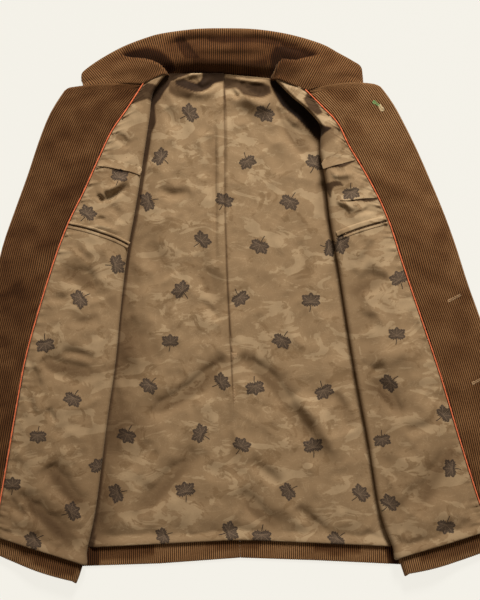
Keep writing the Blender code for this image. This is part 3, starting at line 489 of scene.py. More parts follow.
# Painted shade: how much darker each lining gets from the collar down.
RIGHT_DIM: Rows = ((0, 0.13), (-120, 0.13), (-250, 0.08), (-500, 0.18), (-760, 0.38))
LEFT_DIM: Rows = ((0, 0.02), (-250, 0.06), (-760, 0.24))
BACK_DIM: Rows = ((0, 0.0), (-120, 0.0), (-240, 0.08), (-400, 0.09), (-760, 0.14))
# The collar: folds along its middle, and the ridges where its front parts lie over the middle, with the side
# of the line that is on top, how far that side rises, and how far the other dips.
COLLAR_FOLDS: Rows = (
    (-95, 40, -58, 49, -2, 52, 6, -2.6),
    (-2, 52, 62, 51, 118, 38, 6, -2.6),
    (-54, 34, 4, 35, 62, 35, 6, 2.6),
    (-70, 46, -62, 38, -48, 24, 6, -1.6),
    (82, 42, 100, 38, 128, 30, 6, -2.6),
)
COLLAR_RIDGES = (
    (((-164, 28), (-157, 24.8), (-144, 21.6), (-124, 20), (-114, 16.8), (-103, 11.9), (-95, 4), (-91, -2)),
     -1.0, 3.5, 6.0),
    (((150, 27), (124, 21.8), (108, 17.2), (87, 18.6), (81, 13), (71, -8), (70, -18)), 1.0, 3.5, 6.0),
)
# Where its stand, dipped and in painted shade, and its middle, in painted shade, run: start, soft step, end,
# soft step.
STAND_REACH = (-97.0, 14.0, 80.0, 12.0)
MIDDLE_REACH = (-120.0, 50.0, 130.0, 50.0)
# Painted shade on the lining just beside the pleat's folded edge: how dark it is from the neck down.
PLEAT_DARK: Rows = ((0, 0.95), (-20, 0.95), (-42, 0.86), (-60, 0.78), (-420, 0.82))

# ---------------------------------------------------------------- tables and curves
def columns(names: tuple[str, ...], rows: Rows) -> dict[str, Array]:
    """A table's columns by their names."""
    return dict(zip(names, np.array(rows, dtype=float).T))


def at_rows(names: tuple[str, ...], rows: Rows, places: Array) -> dict[str, Array]:
    """A table's columns, each read as a smooth curve at row numbers."""
    return {name: along(column, places) for name, column in columns(names, rows).items()}


def plan_line(table: dict[str, Array], name: str) -> Array:
    """The line in plan that a table keeps in its two columns of one name."""
    return np.stack((table[name + "_x"], table[name + "_y"]), axis=-1)


def downwards(y: Array | float, rows: Rows | Array, column: int = 1) -> Array:
    """A table's column read at heights y, where the table's first column is y from the collar down."""
    table = np.asarray(rows, dtype=float)
    return np.interp(-y, -table[:, 0], table[:, column])


def lifted(plan: Array, height: Array | float) -> Array:
    """Places in plan as points at a height."""
    return np.concatenate((plan, np.broadcast_to(height, plan.shape[:-1])[..., None]), axis=-1)


def running(points: Array, axis: int = 0) -> Array:
    """The distance travelled along an axis of points, from 0 at its start."""
    steps = np.linalg.norm(np.diff(points, axis=axis), axis=-1)
    return np.concatenate((np.zeros_like(steps.take([0], axis=axis)), np.cumsum(steps, axis=axis)), axis=axis)


def spaced(line: Array, run: Array, spots: Array) -> Array:
    """A line's points read at distances along it, where run is each point's own distance."""
    return np.stack([np.interp(spots, run, channel) for channel in line.T], axis=-1)


def hump(distance: Array, width: float | Array) -> Array:
    """1 at no distance, falling softly to nothing within about two widths."""
    return np.exp(-((distance / width) ** 2))


def fading(value: Array, start: float, run: float) -> Array:
    """1 up to a start, falling softly to 0 over a run past it."""
    return 1.0 - ease((value - start) / run)


def between(value: Array, start: float, rise: float, end: float, fall: float) -> Array:
    """1 between a start and an end, with a soft step of its own length in from each."""
    return ease((value - start) / rise) * ease((end - value) / fall)


def along(values: Array, place: Array) -> Array:
    """Read a smooth curve through a column at row numbers that need not be whole.

    Args:
        values: The column, or a list of points.
        place: Row numbers.

    Returns:
        The curve's value at each row number.
    """
    place = np.asarray(place, dtype=float)
    last = len(values) - 1
    low = np.clip(np.floor(place).astype(int), 0, last - 1)
    part = (place - low).reshape(place.shape + (1,) * (values.ndim - 1))
    first = values[np.maximum(low - 1, 0)]
    second = values[low]
    third = values[low + 1]
    fourth = values[np.minimum(low + 2, last)]
    bend = 2 * first - 5 * second + 4 * third - fourth
    twist = 3 * (second - third) + fourth - first
    return second + 0.5 * part * (third - first + part * (bend + part * twist))


def ease(part: Array) -> Array:
    """A soft step from 0 to 1."""
    part = np.clip(part, 0.0, 1.0)
    return part * part * (3.0 - 2.0 * part)


def evened(values: Array, reach: int) -> Array:
    """Smooth a row of values and hold both its ends.

    Args:
        values: The row.
        reach: How many neighbours each way each value is smoothed with.

    Returns:
        The smooth row.
    """
    weights = np.hanning(2 * reach + 3)[1:-1]
    padded = np.pad(values, reach, mode="reflect", reflect_type="odd")
    return np.convolve(padded, weights / weights.sum(), "valid")


def unit(vectors: Array) -> Array:
    """Vectors of length 1 in the same directions."""
    return vectors / np.maximum(np.linalg.norm(vectors, axis=-1, keepdims=True), TINY)


def distance_to_line(points: Array, line: Array, closed: bool = False) -> tuple[Array, Array, Array]:
    """Measure points in plan against a line of points.

    Args:
        points: Points whose last axis is x and y.
        line: The line's own points.
        closed: Whether the line's last point joins its first.

    Returns:
        The distance, the side as 1 to the left of the line and -1 to its right, and the share of the line's
        points that lies before the nearest place on it.
    """
    ends = np.vstack((line, line[:1])) if closed else np.asarray(line, dtype=float)
    best = np.full(points.shape[:-1], np.inf)
    side = np.ones(points.shape[:-1])
    where = np.zeros(points.shape[:-1])
    count = len(ends) - 1
    for number in range(count):
        start = ends[number]
        step = ends[number + 1] - start
        offset = points - start
        part = np.clip((offset @ step) / max(step @ step, TINY), 0.0, 1.0)
        gap = np.linalg.norm(offset - part[..., None] * step, axis=-1)
        nearer = gap < best
        turn = step[0] * offset[..., 1] - step[1] * offset[..., 0]
        side = np.where(nearer, np.where(turn >= 0, 1.0, -1.0), side)
        where = np.where(nearer, (number + part) / count, where)
        best = np.minimum(best, gap)
    return best, side, where


def distance_outside(points: Array, outline: Array) -> Array:
    """Distance in plan to the area inside an outline.

    Args:
        points: Points whose last axis is x and y.
        outline: The outline's own points, all round.

    Returns:
        The distance of each point, which is 0 inside.
    """
    inside = np.zeros(points.shape[:-1], dtype=bool)
    for start, end in zip(outline, np.roll(outline, -1, axis=0)):
        crosses = (start[1] > points[..., 1]) != (end[1] > points[..., 1])
        rise = end[1] - start[1] if end[1] != start[1] else TINY
        reach = start[0] + (points[..., 1] - start[1]) * (end[0] - start[0]) / rise
        inside ^= crosses & (points[..., 0] < reach)
    return np.where(inside, 0.0, distance_to_line(points, outline, closed=True)[0])


def sinking(distance: Array) -> Array:
    """1 on what a layer lies on and a little past it, falling to 0 where it has reached the floor."""
    return fading(distance, SLOPE_START, SLOPE_RUN)


def fold_line(fold: dict[str, float]) -> Array:
    """The smooth line of a fold through its three points."""
    ends = np.array([(fold["x" + end], fold["y" + end]) for end in "012"])
    return along(ends, np.linspace(0, 2, FOLD_LINE_POINTS))


def fold_relief(points: Array, table: Rows) -> Array:
    """Height that the soft folds of a table add at each point.

    Args:
        points: Points whose last axis starts with x and y.
        table: Rows of FOLD_COLUMNS.

    Returns:
        The height in millimetres.
    """
    relief = np.zeros(points.shape[:-1])
    for row in table:
        fold = dict(zip(FOLD_COLUMNS, row))
        gap, _, where = distance_to_line(points[..., :2], fold_line(fold))
        fade = np.clip(np.sin(math.pi * where), 0.0, 1.0) ** FOLD_TAPER
        relief += fold["height"] * fade * hump(gap, fold["width"])
    return relief


def soft_noise(points: Array, size: float, seed: int, waves: int = 14) -> Array:
    """Smooth uneven ground: a sum of waves in many directions, about -1 to 1.

    Args:
        points: Points whose last axis starts with x and y.
        size: Length of a typical hump in millimetres.
        seed: Chooses the directions and starts.
        waves: How many waves are summed.

    Returns:
        The value at each point.
    """
    dice = np.random.default_rng(seed)
    total = np.zeros(points.shape[:-1])
    for _ in range(waves):
        turn = dice.uniform(0, 2 * math.pi)
        pace = 2 * math.pi / (2 * size * dice.uniform(*WAVE_SPREAD))
        phase = points[..., 0] * math.cos(turn) + points[..., 1] * math.sin(turn)
        total += np.sin(phase * pace + dice.uniform(0, 2 * math.pi))
    return total / math.sqrt(waves)


def swells(points: Array, sizes: Rows, seed: int) -> Array:
    """Soft unevenness from rows of height and size, each with a seed of its own."""
    return sum(height * soft_noise(points, size, seed + row) for row, (height, size) in enumerate(sizes))


def outward(surface: Array, sign: float) -> Array:
    """The direction out of the lining side at each point of a surface of rows and columns."""
    return unit(np.cross(np.gradient(surface, axis=1), np.gradient(surface, axis=0)) * sign)


def rib(across: Array) -> Array:
    """Height of the ribs, 0 in the valleys and 1 on top, at distances across them."""
    return np.abs(np.sin(math.pi * across / WALE)) ** RIB_SHAPE


def turned(distance: Array) -> Array:
    """How far a turned edge sinks at distances in from it."""
    inside = np.clip(1.0 - distance / EDGE_ROUND, 0.0, 1.0)
    return EDGE_ROUND * (1.0 - np.sqrt(1.0 - inside ** 2))


# ---------------------------------------------------------------- meshes
@dataclass
class Grid:
    """A surface of rows and columns, with the values that its finish reads.

    Attributes:
        points: Rows by columns by x, y, z in millimetres.
        stand: The direction out of the cloth's good side at each point.
        values: Named numbers or vectors for each point.
        ends: Where rows start late or end early, the first and the last column that each row has.
    """

    points: Array
    stand: Array
    values: dict[str, Array] = field(default_factory=dict)
    ends: Array | None = None

    def faces(self) -> list[Face]:
        """The grid's faces, by the number of each corner's point.

        Returns:
            Quads, and triangles where a row ends before its neighbour, all looking out of the good side.
        """
        rows, count = self.points.shape[:2]
        place = np.broadcast_to(np.arange(count), (rows, count))
        if self.ends is not None:
            place = np.clip(place, self.ends[:, :1], self.ends[:, 1:])
        own = (np.arange(rows)[:, None] * count + place).tolist()
        across = self.points[:-1, 1:] - self.points[:-1, :-1]
        down = self.points[1:, :-1] - self.points[:-1, :-1]
        way = -1 if (np.cross(across, down) * self.stand[:-1, :-1]).sum() < 0 else 1
        found = []
        for upper, lower in zip(own, own[1:]):
            for corners in zip(upper, upper[1:], lower[1:], lower):
                face = tuple(dict.fromkeys(corners))
                if len(face) > 2:
                    found.append(face[::way])
        return found


def to_frame(points: Array) -> Array:
    """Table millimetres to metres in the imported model's frame."""
    return (points - np.array((CENTRE[0], CENTRE[1], 0.0))) * MM


def resample(points: Array, spots: Array) -> tuple[Array, Array, Array]:
    """Read each row of a surface at distances from its last column.

    Args:
        points: Rows by columns by channels, whose first three channels are x, y, z.
        spots: Distances for each row in millimetres.

    Returns:
        The rows read at those distances, the distances held to each row's length, and the last spot that
        each row has.
    """
    source = points[:, ::-1]
    run = running(source[..., :3], 1)
    held = np.minimum(spots, run[:, -1:])
    read = np.stack([spaced(*row) for row in zip(source, run, held)])
    last = np.minimum((spots < run[:, -1:]).sum(axis=1), spots.shape[1] - 1)
    return read, held, last


def ribbed(points: Array, normals: Array, samples: int, slant: Array | float = 1.0,
           strays: Array | float = 0.0) -> tuple[Array, Array, Array, Array]:
    """Cut a surface's rows along its ribs, which run parallel to a straight edge beside its last column.

    Args:
        points: Rows by columns by x, y, z.
        normals: The direction in which ribs stand, at each point.
        samples: Points across one rib.
        slant: For each row, the sine of its angle to the last column.
        strays: For each row, how far its last column lies in from the straight edge.

    Returns:
        The points, the directions, the distances across the ribs, and the first and last column of each row.
    """
    both = np.concatenate((points, normals), axis=-1)
    slants = np.broadcast_to(slant, len(points))[:, None]
    shifts = np.broadcast_to(strays, len(points))[:, None]
    lengths = np.linalg.norm(np.diff(points, axis=1), axis=-1).sum(axis=1, keepdims=True) * slants + shifts
    spots = np.arange(math.ceil(lengths.max() / (WALE / samples)) + 1)[None] * WALE / samples
    read, held, last = resample(both, np.maximum(spots - shifts, 0.0) / slants)
    first = np.maximum((spots <= shifts).sum(axis=1) - 1, 0)
    return read[..., :3], unit(read[..., 3:]), held * slants + shifts, np.stack((first, last), axis=1)


def row_slant(points: Array) -> Array:
    """The sine of each row's angle to the last column."""
    course = unit(np.gradient(points[:, -1], axis=0))
    return np.linalg.norm(np.cross(unit(points[:, -1] - points[:, 0]), course), axis=-1)


def placed(name: str, data: bpy.types.ID) -> Piece:
    """Put a mesh, a light or a camera in the scene as an object of that name.

    Args:
        name: The object's name.
        data: What it holds.

    Returns:
        The object.
    """
    made = bpy.data.objects.new(name, data)
    bpy.context.scene.collection.objects.link(made)
    return made


def keep_value(mesh: bpy.types.Mesh, name: str, value: Array, domain: str = "POINT") -> None:
    """Keep a number or a vector for each point or corner of a mesh, for its finish to read."""
    kind, key = ("FLOAT_VECTOR", "vector") if value.ndim == 2 else ("FLOAT", "value")
    mesh.attributes.new(name, kind, domain).data.foreach_set(key, value.astype(np.float32).ravel())


def read_all(items: bpy.types.bpy_prop_collection, key: str, kind: type, size: int = 1) -> Array:
    """One property of every item of a mesh, in a row.

    Args:
        items: Its points, faces or values.
        key: The property's name.
        kind: The kind of number.
        size: How many numbers each item has.

    Returns:
        The numbers.
    """
    found = np.zeros(len(items) * size, dtype=kind)
    items.foreach_get(key, found)
    return found


def make_mesh(name: str, grid: Grid, finish: Material, thick: float) -> Piece:
    """Turn a grid into a wall of cloth with its finish and values.

    Args:
        name: The piece's name.
        grid: The surface of the cloth's good side.
        finish: The material.
        thick: The cloth's thickness, of which a value "wall" leaves a share.

    Returns:
        The new object, smooth shaded.
    """
    faces = grid.faces()
    used = np.unique(np.concatenate(faces))
    number = np.zeros(grid.points.shape[0] * grid.points.shape[1], dtype=int)
    number[used] = np.arange(len(used))
    number = number.tolist()
    mesh = bpy.data.meshes.new(name)
    verts = to_frame(grid.points).reshape(-1, 3)[used]
    mesh.from_pydata(verts.tolist(), [], [[number[corner] for corner in face] for face in faces])
    kept = {key: value.reshape((-1,) + value.shape[2:])[used] for key, value in grid.values.items()}
    for key, value in kept.items():
        keep_value(mesh, key, value)
    mesh.shade_smooth()
    mesh.materials.append(finish)
    made = placed(name, mesh)
    wall = made.modifiers.new("wall", "SOLIDIFY")
    wall.thickness = thick * MM
    wall.offset = -1.0
    wall.use_rim = True
    if "wall" in kept:
        group = made.vertex_groups.new(name="wall")
        levels = np.round(kept["wall"] * WALL_LEVELS).astype(int)
        for level in np.unique(levels):
            share = max(level / WALL_LEVELS, LEAST_WALL)
            group.add(np.nonzero(levels == level)[0].tolist(), share, "REPLACE")
        wall.vertex_group = group.name
    return made


def cord_mesh(name: str, verts: Array, faces: list[Face], runs: Array,
              finish: Material) -> Piece:
    """Make cord or thread an object.

    Args:
        name: The piece's name.
        verts: Its points in millimetres.
        faces: Its faces.
        runs: Each point's distance along it, kept as the value "run".
        finish: The material.

    Returns:
        The new object, smooth shaded.
    """
    mesh = bpy.data.meshes.new(name)
    mesh.from_pydata(to_frame(verts).tolist(), [], faces)
    keep_value(mesh, "run", runs)
    mesh.shade_smooth()
    mesh.materials.append(finish)
    return placed(name, mesh)


def tube_parts(route: Array, radius: Array, sides: int) -> tuple[Array, list[Face], Array]:
    """Points, faces and distances of a tube along a route.

    Args:
        route: The middle line.
        radius: The radius at each of its points.
        sides: Points round the section.

    Returns:
        The points, the faces and each point's distance along the route.
    """
    course = unit(np.gradient(route, axis=0))
    level = unit(np.cross(course, np.array((0.0, 0.0, 1.0))) + np.array((1e-6, 0.0, 0.0)))
    upright = np.cross(level, course)
    turns = np.arange(sides) * 2 * math.pi / sides
    ring = level[:, None] * np.cos(turns)[None, :, None] + upright[:, None] * np.sin(turns)[None, :, None]
    verts = (route[:, None] + ring * np.asarray(radius)[:, None, None]).reshape(-1, 3)
    faces = []
    for step in range(len(route) - 1):
        for side in range(sides):
            after = (side + 1) % sides
            low = step * sides
            faces.append((low + side, low + after, low + sides + after, low + sides + side))
    faces.append(tuple(range(sides))[::-1])
    last = (len(route) - 1) * sides
    faces.append(tuple(range(last, last + sides)))
    return verts, faces, np.repeat(running(route), sides)


class Ground:
    """The height of a finished surface at places in plan."""

    above: float = 200.0
    near: float = 10.0

    def __init__(self, points: Array) -> None:
        """Keep a surface.

        Args:
            points: Its rows and columns of points, in millimetres.
        """
        rows, count = points.shape[:2]
        own = np.arange(rows * count).reshape(rows, count)
        faces = np.stack((own[:-1, :-1], own[:-1, 1:], own[1:, 1:], own[1:, :-1]), axis=-1)
        self.tree = BVHTree.FromPolygons(points.reshape(-1, 3).tolist(), faces.reshape(-1, 4).tolist())

    def heights(self, plan: Array) -> Array:
        """Height at each place, and the nearest point's height where the surface doesn't reach.

        Args:
            plan: Places whose last axis is x and y.

        Returns:
            The heights in millimetres.
        """
        found = []
        for x, y in plan.reshape(-1, 2):
            hit = self.tree.ray_cast(Vector((x, y, self.above)), Vector((0.0, 0.0, -1.0)))[0]
            found.append(hit[2] if hit else self.tree.find_nearest(Vector((x, y, self.near)))[0][2])
        return np.array(found).reshape(plan.shape[:-1])


# ---------------------------------------------------------------- shading
class Shading:
    """Builds one material's nodes, a step at a time."""

    def __init__(self, name: str) -> None:
        """Start a material with an empty Principled shader.

        Args:
            name: The material's name.
        """
        self.material = bpy.data.materials.new(name)
        self.material.use_nodes = True
        self.tree = self.material.node_tree
        self.shader = self.tree.nodes["Principled BSDF"]

    def node(self, kind: str, inputs: Inputs | None = None, **settings: object) -> bpy.types.Node:
        """Add a node.

        Args:
            kind: Its type.
            inputs: A socket or a value for each of its inputs.
            settings: Its own settings.

        Returns:
            The node.
        """
        made = self.tree.nodes.new(kind)
        for key, value in settings.items():
            setattr(made, key, value)
        self.fill(made, inputs or {})
        return made

    def fill(self, node: bpy.types.Node, inputs: Inputs) -> None:
        """Link or set a node's inputs."""
        for key, value in inputs.items():
            self.plug(node.inputs[key], value)

    def plug(self, socket: Socket, value: object) -> None:
        """Link a socket, or set its value.

        Args:
            socket: An input of a node.
            value: The output that feeds it, or its value.
        """
        if isinstance(value, bpy.types.NodeSocket):
            self.tree.links.new(value, socket)
        else:
            socket.default_value = value

    def attribute(self, name: str, output: str = "Fac") -> Socket:
        """A named value of the mesh."""
        return self.node("ShaderNodeAttribute", attribute_name=name).outputs[output]

    def math(self, operation: str, *inputs: object, clamp: bool = False) -> Socket:
        """The result of a Math node."""
        made = self.node("ShaderNodeMath", dict(enumerate(inputs)), operation=operation, use_clamp=clamp)
        return made.outputs[0]

    def times(self, first: object, second: object) -> Socket:
        """Two numbers multiplied."""
        return self.math("MULTIPLY", first, second)

    def linear(self, value: object, slope: object, start: object, clamp: bool = False) -> Socket:
        """A number times a slope, on from a start."""
        return self.math("MULTIPLY_ADD", value, slope, start, clamp=clamp)

    def parts(self, vector: Socket) -> tuple[Socket, Socket, Socket]:
        """A vector's three numbers."""
        x, y, z = self.node("ShaderNodeSeparateXYZ", {0: vector}).outputs
        return x, y, z

    def vector(self, x: object, y: object, z: object = 0.0) -> Socket:
        """A vector from three numbers."""
        return self.node("ShaderNodeCombineXYZ", {0: x, 1: y, 2: z}).outputs[0]

    def scaled(self, vector: Socket, scale: Point) -> Socket:
        """A vector multiplied number by number."""
        return self.node("ShaderNodeVectorMath", {0: vector, 1: scale}, operation="MULTIPLY").outputs[0]

    def noise(self, vector: Socket, scale: float, detail: float = 2.0, distortion: float = 0.0,
              roughness: float = 0.5) -> Socket:
        """A noise between 0 and 1."""
        made = self.node("ShaderNodeTexNoise", {"Vector": vector, "Scale": scale, "Detail": detail,
                                                "Distortion": distortion, "Roughness": roughness})
        return made.outputs["Fac"]

    def step(self, value: Socket, low: float, high: float, to_low: float = 0.0,
             to_high: float = 1.0) -> Socket:
        """A soft step of a value from one number to another.

        Args:
            value: The value.
            low: Where the step starts.
            high: Where it ends.
            to_low: What it gives up to its start.
            to_high: What it gives from its end on.

        Returns:
            The step's result.
        """
        ends = {"From Min": low, "From Max": high, "To Min": to_low, "To Max": to_high}
        made = self.node("ShaderNodeMapRange", {"Value": value} | ends, interpolation_type="SMOOTHSTEP")
        return made.outputs["Result"]

    def mix(self, share: object, first: object, second: object, blend: str = "MIX") -> Socket:
        """Two colours mixed."""
        return self.node("ShaderNodeMix", {"Factor": share, 6: first, 7: second}, data_type="RGBA",
                         blend_type=blend).outputs[2]

    def dimmed(self, colour: Socket, gain: Socket, warmth: float) -> Socket:
        """A colour times a gain, and the warmer the darker it gets."""
        gains = [self.math("POWER", gain, 1.0 + shift) for shift in (-warmth, 0.0, warmth)]
        return self.mix(1.0, colour, self.vector(*gains), "MULTIPLY")

    def bump(self, height: Socket, distance: float, strength: float = 1.0) -> None:
        """Give the shader a bump of a height in metres."""
        made = self.node("ShaderNodeBump", {"Strength": strength, "Distance": distance, "Height": height})
        self.plug(self.shader.inputs["Normal"], made.outputs[0])

    def finish(self, colour: Socket, roughness: object, sheen: float = 0.0,
               sheen_tint: Colour = (1.0, 1.0, 1.0, 1.0),
               specular: float = 0.3) -> Material:
        """Close the material.

        Args:
            colour: The base colour.
            roughness: A number or a socket.
            sheen: Weight of the soft nap's sheen.
            sheen_tint: Its colour.
            specular: Specular level.

        Returns:
            The material.
        """
        self.fill(self.shader, {"Base Color": colour, "Roughness": roughness, "Sheen Weight": sheen,
                                "Sheen Roughness": 0.5, "Sheen Tint": sheen_tint,
                                "Specular IOR Level": specular})
        return self.material


def tint(red: int, green: int, blue: int) -> Colour:
    """A screen colour as the linear colour that shaders use.

    Args:
        red: Red from 0 to 255.
        green: Green.
        blue: Blue.

    Returns:
        The linear colour, which is opaque.
    """
    linear = []
    for channel in (red, green, blue):
        share = channel / 255
        linear.append(share / 12.92 if share <= 0.04045 else ((share + 0.055) / 1.055) ** 2.4)
    return (*linear, 1.0)


@dataclass(frozen=True)
class CorduroyFinish:
    """Brown cotton corduroy: soft ribs with a brushed nap, and painted shade in the valleys.

    Attributes:
        top: Colour on the ribs.
        shaded_valley: Colour between them, painted shade.
    """

    top: Colour = tint(106, 71, 41)
    shaded_valley: Colour = tint(12, 4, 1)

    def material(self) -> Material:
        """Make the material, which reads the values wale, run, tone_and_painted_light and shade; these hold
        random tone, painted light and painted shade.

        Returns:
            The material.
        """
        cloth = Shading("corduroy")
        across = cloth.attribute("wale")
        run = cloth.attribute("run")
        wave = cloth.math("SINE", cloth.times(across, math.pi / WALE))
        height = cloth.math("POWER", cloth.math("ABSOLUTE", wave), 1.2)
        pile = cloth.noise(cloth.vector(cloth.times(across, 1.6), cloth.times(run, 0.7)), 1.0, 3.0)
        fleck = cloth.noise(cloth.vector(across, run), 0.22, 3.0)
        share = cloth.linear(height, 1.25, cloth.linear(pile, 0.6, -0.5), clamp=True)
        colour = cloth.mix(share, self.shaded_valley, self.top)
        # the gain: tone with its painted light, random flecks, and the painted shade
        gain = cloth.times(cloth.math("ADD", cloth.attribute("tone_and_painted_light"), 1.0), cloth.linear(fleck, 0.6, 0.7))
        gain = cloth.times(gain, cloth.math("SUBTRACT", 1.0, cloth.attribute("shade")))
        colour = cloth.dimmed(colour, gain, 0.2)
        cloth.bump(cloth.times(pile, cloth.linear(height, 0.7, 0.3)), 0.0005, 0.7)
        return cloth.finish(colour, 0.95, 0.2, tint(214, 170, 124), 0.08)


@dataclass(frozen=True)
class Lobe:
    """One lobe of the printed leaf: its turn from the tip, length, half width and number of teeth."""

    turn: float
    length: float
    width: float
    teeth: float


@dataclass(frozen=True)
class LiningFinish:
    """Khaki cotton with soft blotches in its own tones and a scatter of dark leaves.

    Attributes:
        ground: The cloth's own colour.
        light: Colour of the light blotches.
        dark: Colour of the dark blotches.
        ink: Colour of the leaves.
        vein: Colour of their veins.
        lobes: The leaf's shape on one side of its middle.
    """

    ground: Colour = tint(134, 109, 79)
    light: Colour = tint(157, 133, 101)
    dark: Colour = tint(119, 94, 65)
    ink: Colour = tint(40, 31, 26)
    vein: Colour = tint(106, 88, 70)
    lobes: tuple[Lobe, ...] = (Lobe(0.0, 1.0, 0.44, 4.0), Lobe(50.0, 1.1, 0.44, 5.0),
                               Lobe(96.0, 0.9, 0.42, 4.0))

    def leaf(self, cloth: Shading) -> tuple[Socket, Socket]:
        """Draw the leaf in its own coordinates.

        Args:
            cloth: The material.

        Returns:
            How far a place is inked, and how far it is a vein.
        """
        x, y, _ = cloth.parts(cloth.attribute("leaf", "Vector"))
        wide = cloth.times(cloth.math("ABSOLUTE", x), 0.94)
        tall = cloth.linear(y, 1.02, 0.3)
        inked = None
        vein = None
        for lobe in self.lobes:
            turn = math.radians(lobe.turn)
            length = cloth.math("ADD", cloth.times(wide, math.sin(turn)), cloth.times(tall, math.cos(turn)))
            off = cloth.math("SUBTRACT", cloth.times(wide, math.cos(turn)), cloth.times(tall, math.sin(turn)))
            off = cloth.math("ABSOLUTE", off)
            share = cloth.math("DIVIDE", length, lobe.length, clamp=True)
            swell = cloth.times(cloth.math("POWER", share, 0.5),
                                cloth.math("POWER", cloth.math("SUBTRACT", 1.0, share), 0.8))
            saw = cloth.math("FRACT", cloth.times(share, lobe.teeth))
            edge = cloth.times(swell, cloth.linear(saw, 1.1 * lobe.width, 1.7 * lobe.width))
            inside = cloth.step(cloth.math("SUBTRACT", edge, off), 0.0, 0.03)
            inside = cloth.times(inside, cloth.step(length, 0.0, 0.02))
            line = cloth.times(cloth.step(off, 0.05, 0.02), cloth.step(share, 0.85, 0.7))
            comb = cloth.math("FRACT", cloth.times(cloth.math("SUBTRACT", length, off), 6.0))
            line = cloth.math("MAXIMUM", line, cloth.times(cloth.step(comb, 0.56, 0.76), 0.8))
            line = cloth.times(line, inside)
            inked = inside if inked is None else cloth.math("MAXIMUM", inked, inside)
            vein = line if vein is None else cloth.math("MAXIMUM", vein, line)
        bent = cloth.linear(cloth.times(tall, tall), 0.14, x)
        stem = cloth.times(cloth.step(cloth.math("ABSOLUTE", bent), 0.06, 0.03),
                           cloth.times(cloth.step(tall, 0.1, 0.0), cloth.step(tall, -1.0, -0.95)))
        return cloth.math("MAXIMUM", inked, stem), vein

    def material(self) -> Material:
        """Make the material, which reads the values print, leaf and shade.

        Returns:
            The material.
        """
        cloth = Shading("lining")
        place = cloth.attribute("print", "Vector")
        shade = cloth.attribute("shade")
        wide = cloth.scaled(place, (0.85, 1.5, 1.0))
        light = cloth.step(cloth.noise(wide, 0.02, 6.0, 1.0, 0.6), 0.53, 0.565)
        tall = cloth.scaled(place, (1.0, 1.25, 1.0))
        dark = cloth.step(cloth.noise(tall, 0.026, 5.0, 1.2, 0.6), 0.43, 0.39)
        rim = cloth.noise(wide, 0.03, 6.0, 1.6, 0.66)
        off = cloth.math("ABSOLUTE", cloth.math("SUBTRACT", rim, 0.5))
        thread = cloth.times(cloth.step(off, 0.012, 0.004), 0.5)
        colour = cloth.mix(cloth.times(light, 0.8), self.ground, self.light)
        colour = cloth.mix(cloth.times(dark, 0.8), colour, self.dark)
        colour = cloth.mix(thread, colour, self.light)
        weft = cloth.noise(cloth.scaled(place, (0.12, 2.2, 1.0)), 1.0, 2.0)
        warp = cloth.noise(cloth.scaled(place, (2.4, 0.12, 1.0)), 1.0, 2.0)
        weave = cloth.times(weft, warp)
        ink, vein = self.leaf(cloth)
        worn = cloth.noise(place, 1.3, 2.0)
        ink = cloth.times(ink, cloth.step(worn, 0.28, 0.5, 0.75, 0.98))
        colour = cloth.mix(ink, colour, cloth.mix(vein, self.ink, self.vein))
        # the weave's unevenness times the painted shade
        weave_and_painted_shade = cloth.times(cloth.linear(weave, 0.5, 0.875), cloth.math("SUBTRACT", 1.0, shade))
        colour = cloth.dimmed(colour, weave_and_painted_shade, 0.12)
        cloth.bump(weave, 0.0003, 0.5)
        return cloth.finish(colour, cloth.step(weave, 0.0, 0.6, 0.76, 0.88), 0.06, tint(235, 215, 185), 0.12)


@dataclass(frozen=True)
class ThreadFinish:
    """Spun thread or corded trim.

    Attributes:
        name: The material's name.
        colour: Its colour.
        shadow: Colour between the strands.
        strands: Strands for each millimetre along it.
    """

    name: str
    colour: Colour
    shadow: Colour
    strands: float

    def material(self) -> Material:
        """Make the material, which reads the value run.

        Returns:
            The material.
        """
        cord = Shading(self.name)
        run = cord.attribute("run")
        place = cord.node("ShaderNodeTexCoord").outputs["Object"]
        uneven = cord.noise(place, 900.0, 2.0)
        wave = cord.math("SINE", cord.linear(uneven, 2.0, cord.times(run, 2 * math.pi * self.strands)))
        strand = cord.linear(wave, 0.3, 0.6, clamp=True)
        colour = cord.mix(cord.linear(uneven, 0.4, strand, clamp=True), self.shadow, self.colour)
        cord.bump(strand, 0.0002, 0.6)
        return cord.finish(colour, cord.step(uneven, 0.3, 0.7, 0.6, 0.75), 0.15)


@dataclass(frozen=True)
class ButtonFinish:
    """Dark horn-like resin with soft streaks."""

    dark: Colour = tint(38, 24, 17)
    streak: Colour = tint(84, 56, 38)

    def material(self) -> Material:
        """Make the material.

        Returns:
            The material.
        """
        resin = Shading("button resin")
        place = resin.node("ShaderNodeTexCoord").outputs["Object"]
        cloud = resin.noise(resin.scaled(place, (1.0, 0.25, 1.0)), 160.0, 4.0, 1.5)
        fine = resin.noise(place, 1400.0, 2.0)
        colour = resin.mix(resin.step(cloud, 0.45, 0.7), self.dark, self.streak)
        resin.bump(fine, 0.00005, 0.3)
        return resin.finish(colour, resin.step(fine, 0.3, 0.7, 0.3, 0.42), 0.0, specular=0.5)


@dataclass(frozen=True)
class FloorFinish:
    """Plain pale table top lit through from below, which keeps the shadows on it light.

    Attributes:
        near: Colour towards the key light.
        far: Colour away from it.
        glow: Colour of the light from below.
        reach: Metres either side of the middle over which the colour changes.
        strength: Strength of the light from below.
    """

    near: Colour = tint(56, 56, 55)
    far: Colour = tint(72, 72, 71)
    glow: Colour = tint(244, 241, 232)
    reach: float = 0.62
    strength: float = 0.93

    def material(self) -> Material:
        """Make the material.

        Returns:
            The material.
        """
        paint = Shading("pale surface")
        place = paint.node("ShaderNodeTexCoord").outputs["Object"]
        _, north, _ = paint.parts(place)
        share = paint.linear(north, 0.5 / self.reach, 0.5, clamp=True)
        paint.fill(paint.shader, {"Emission Color": self.glow, "Emission Strength": self.strength})
        return paint.finish(paint.mix(share, self.far, self.near), 0.9, specular=0.0)


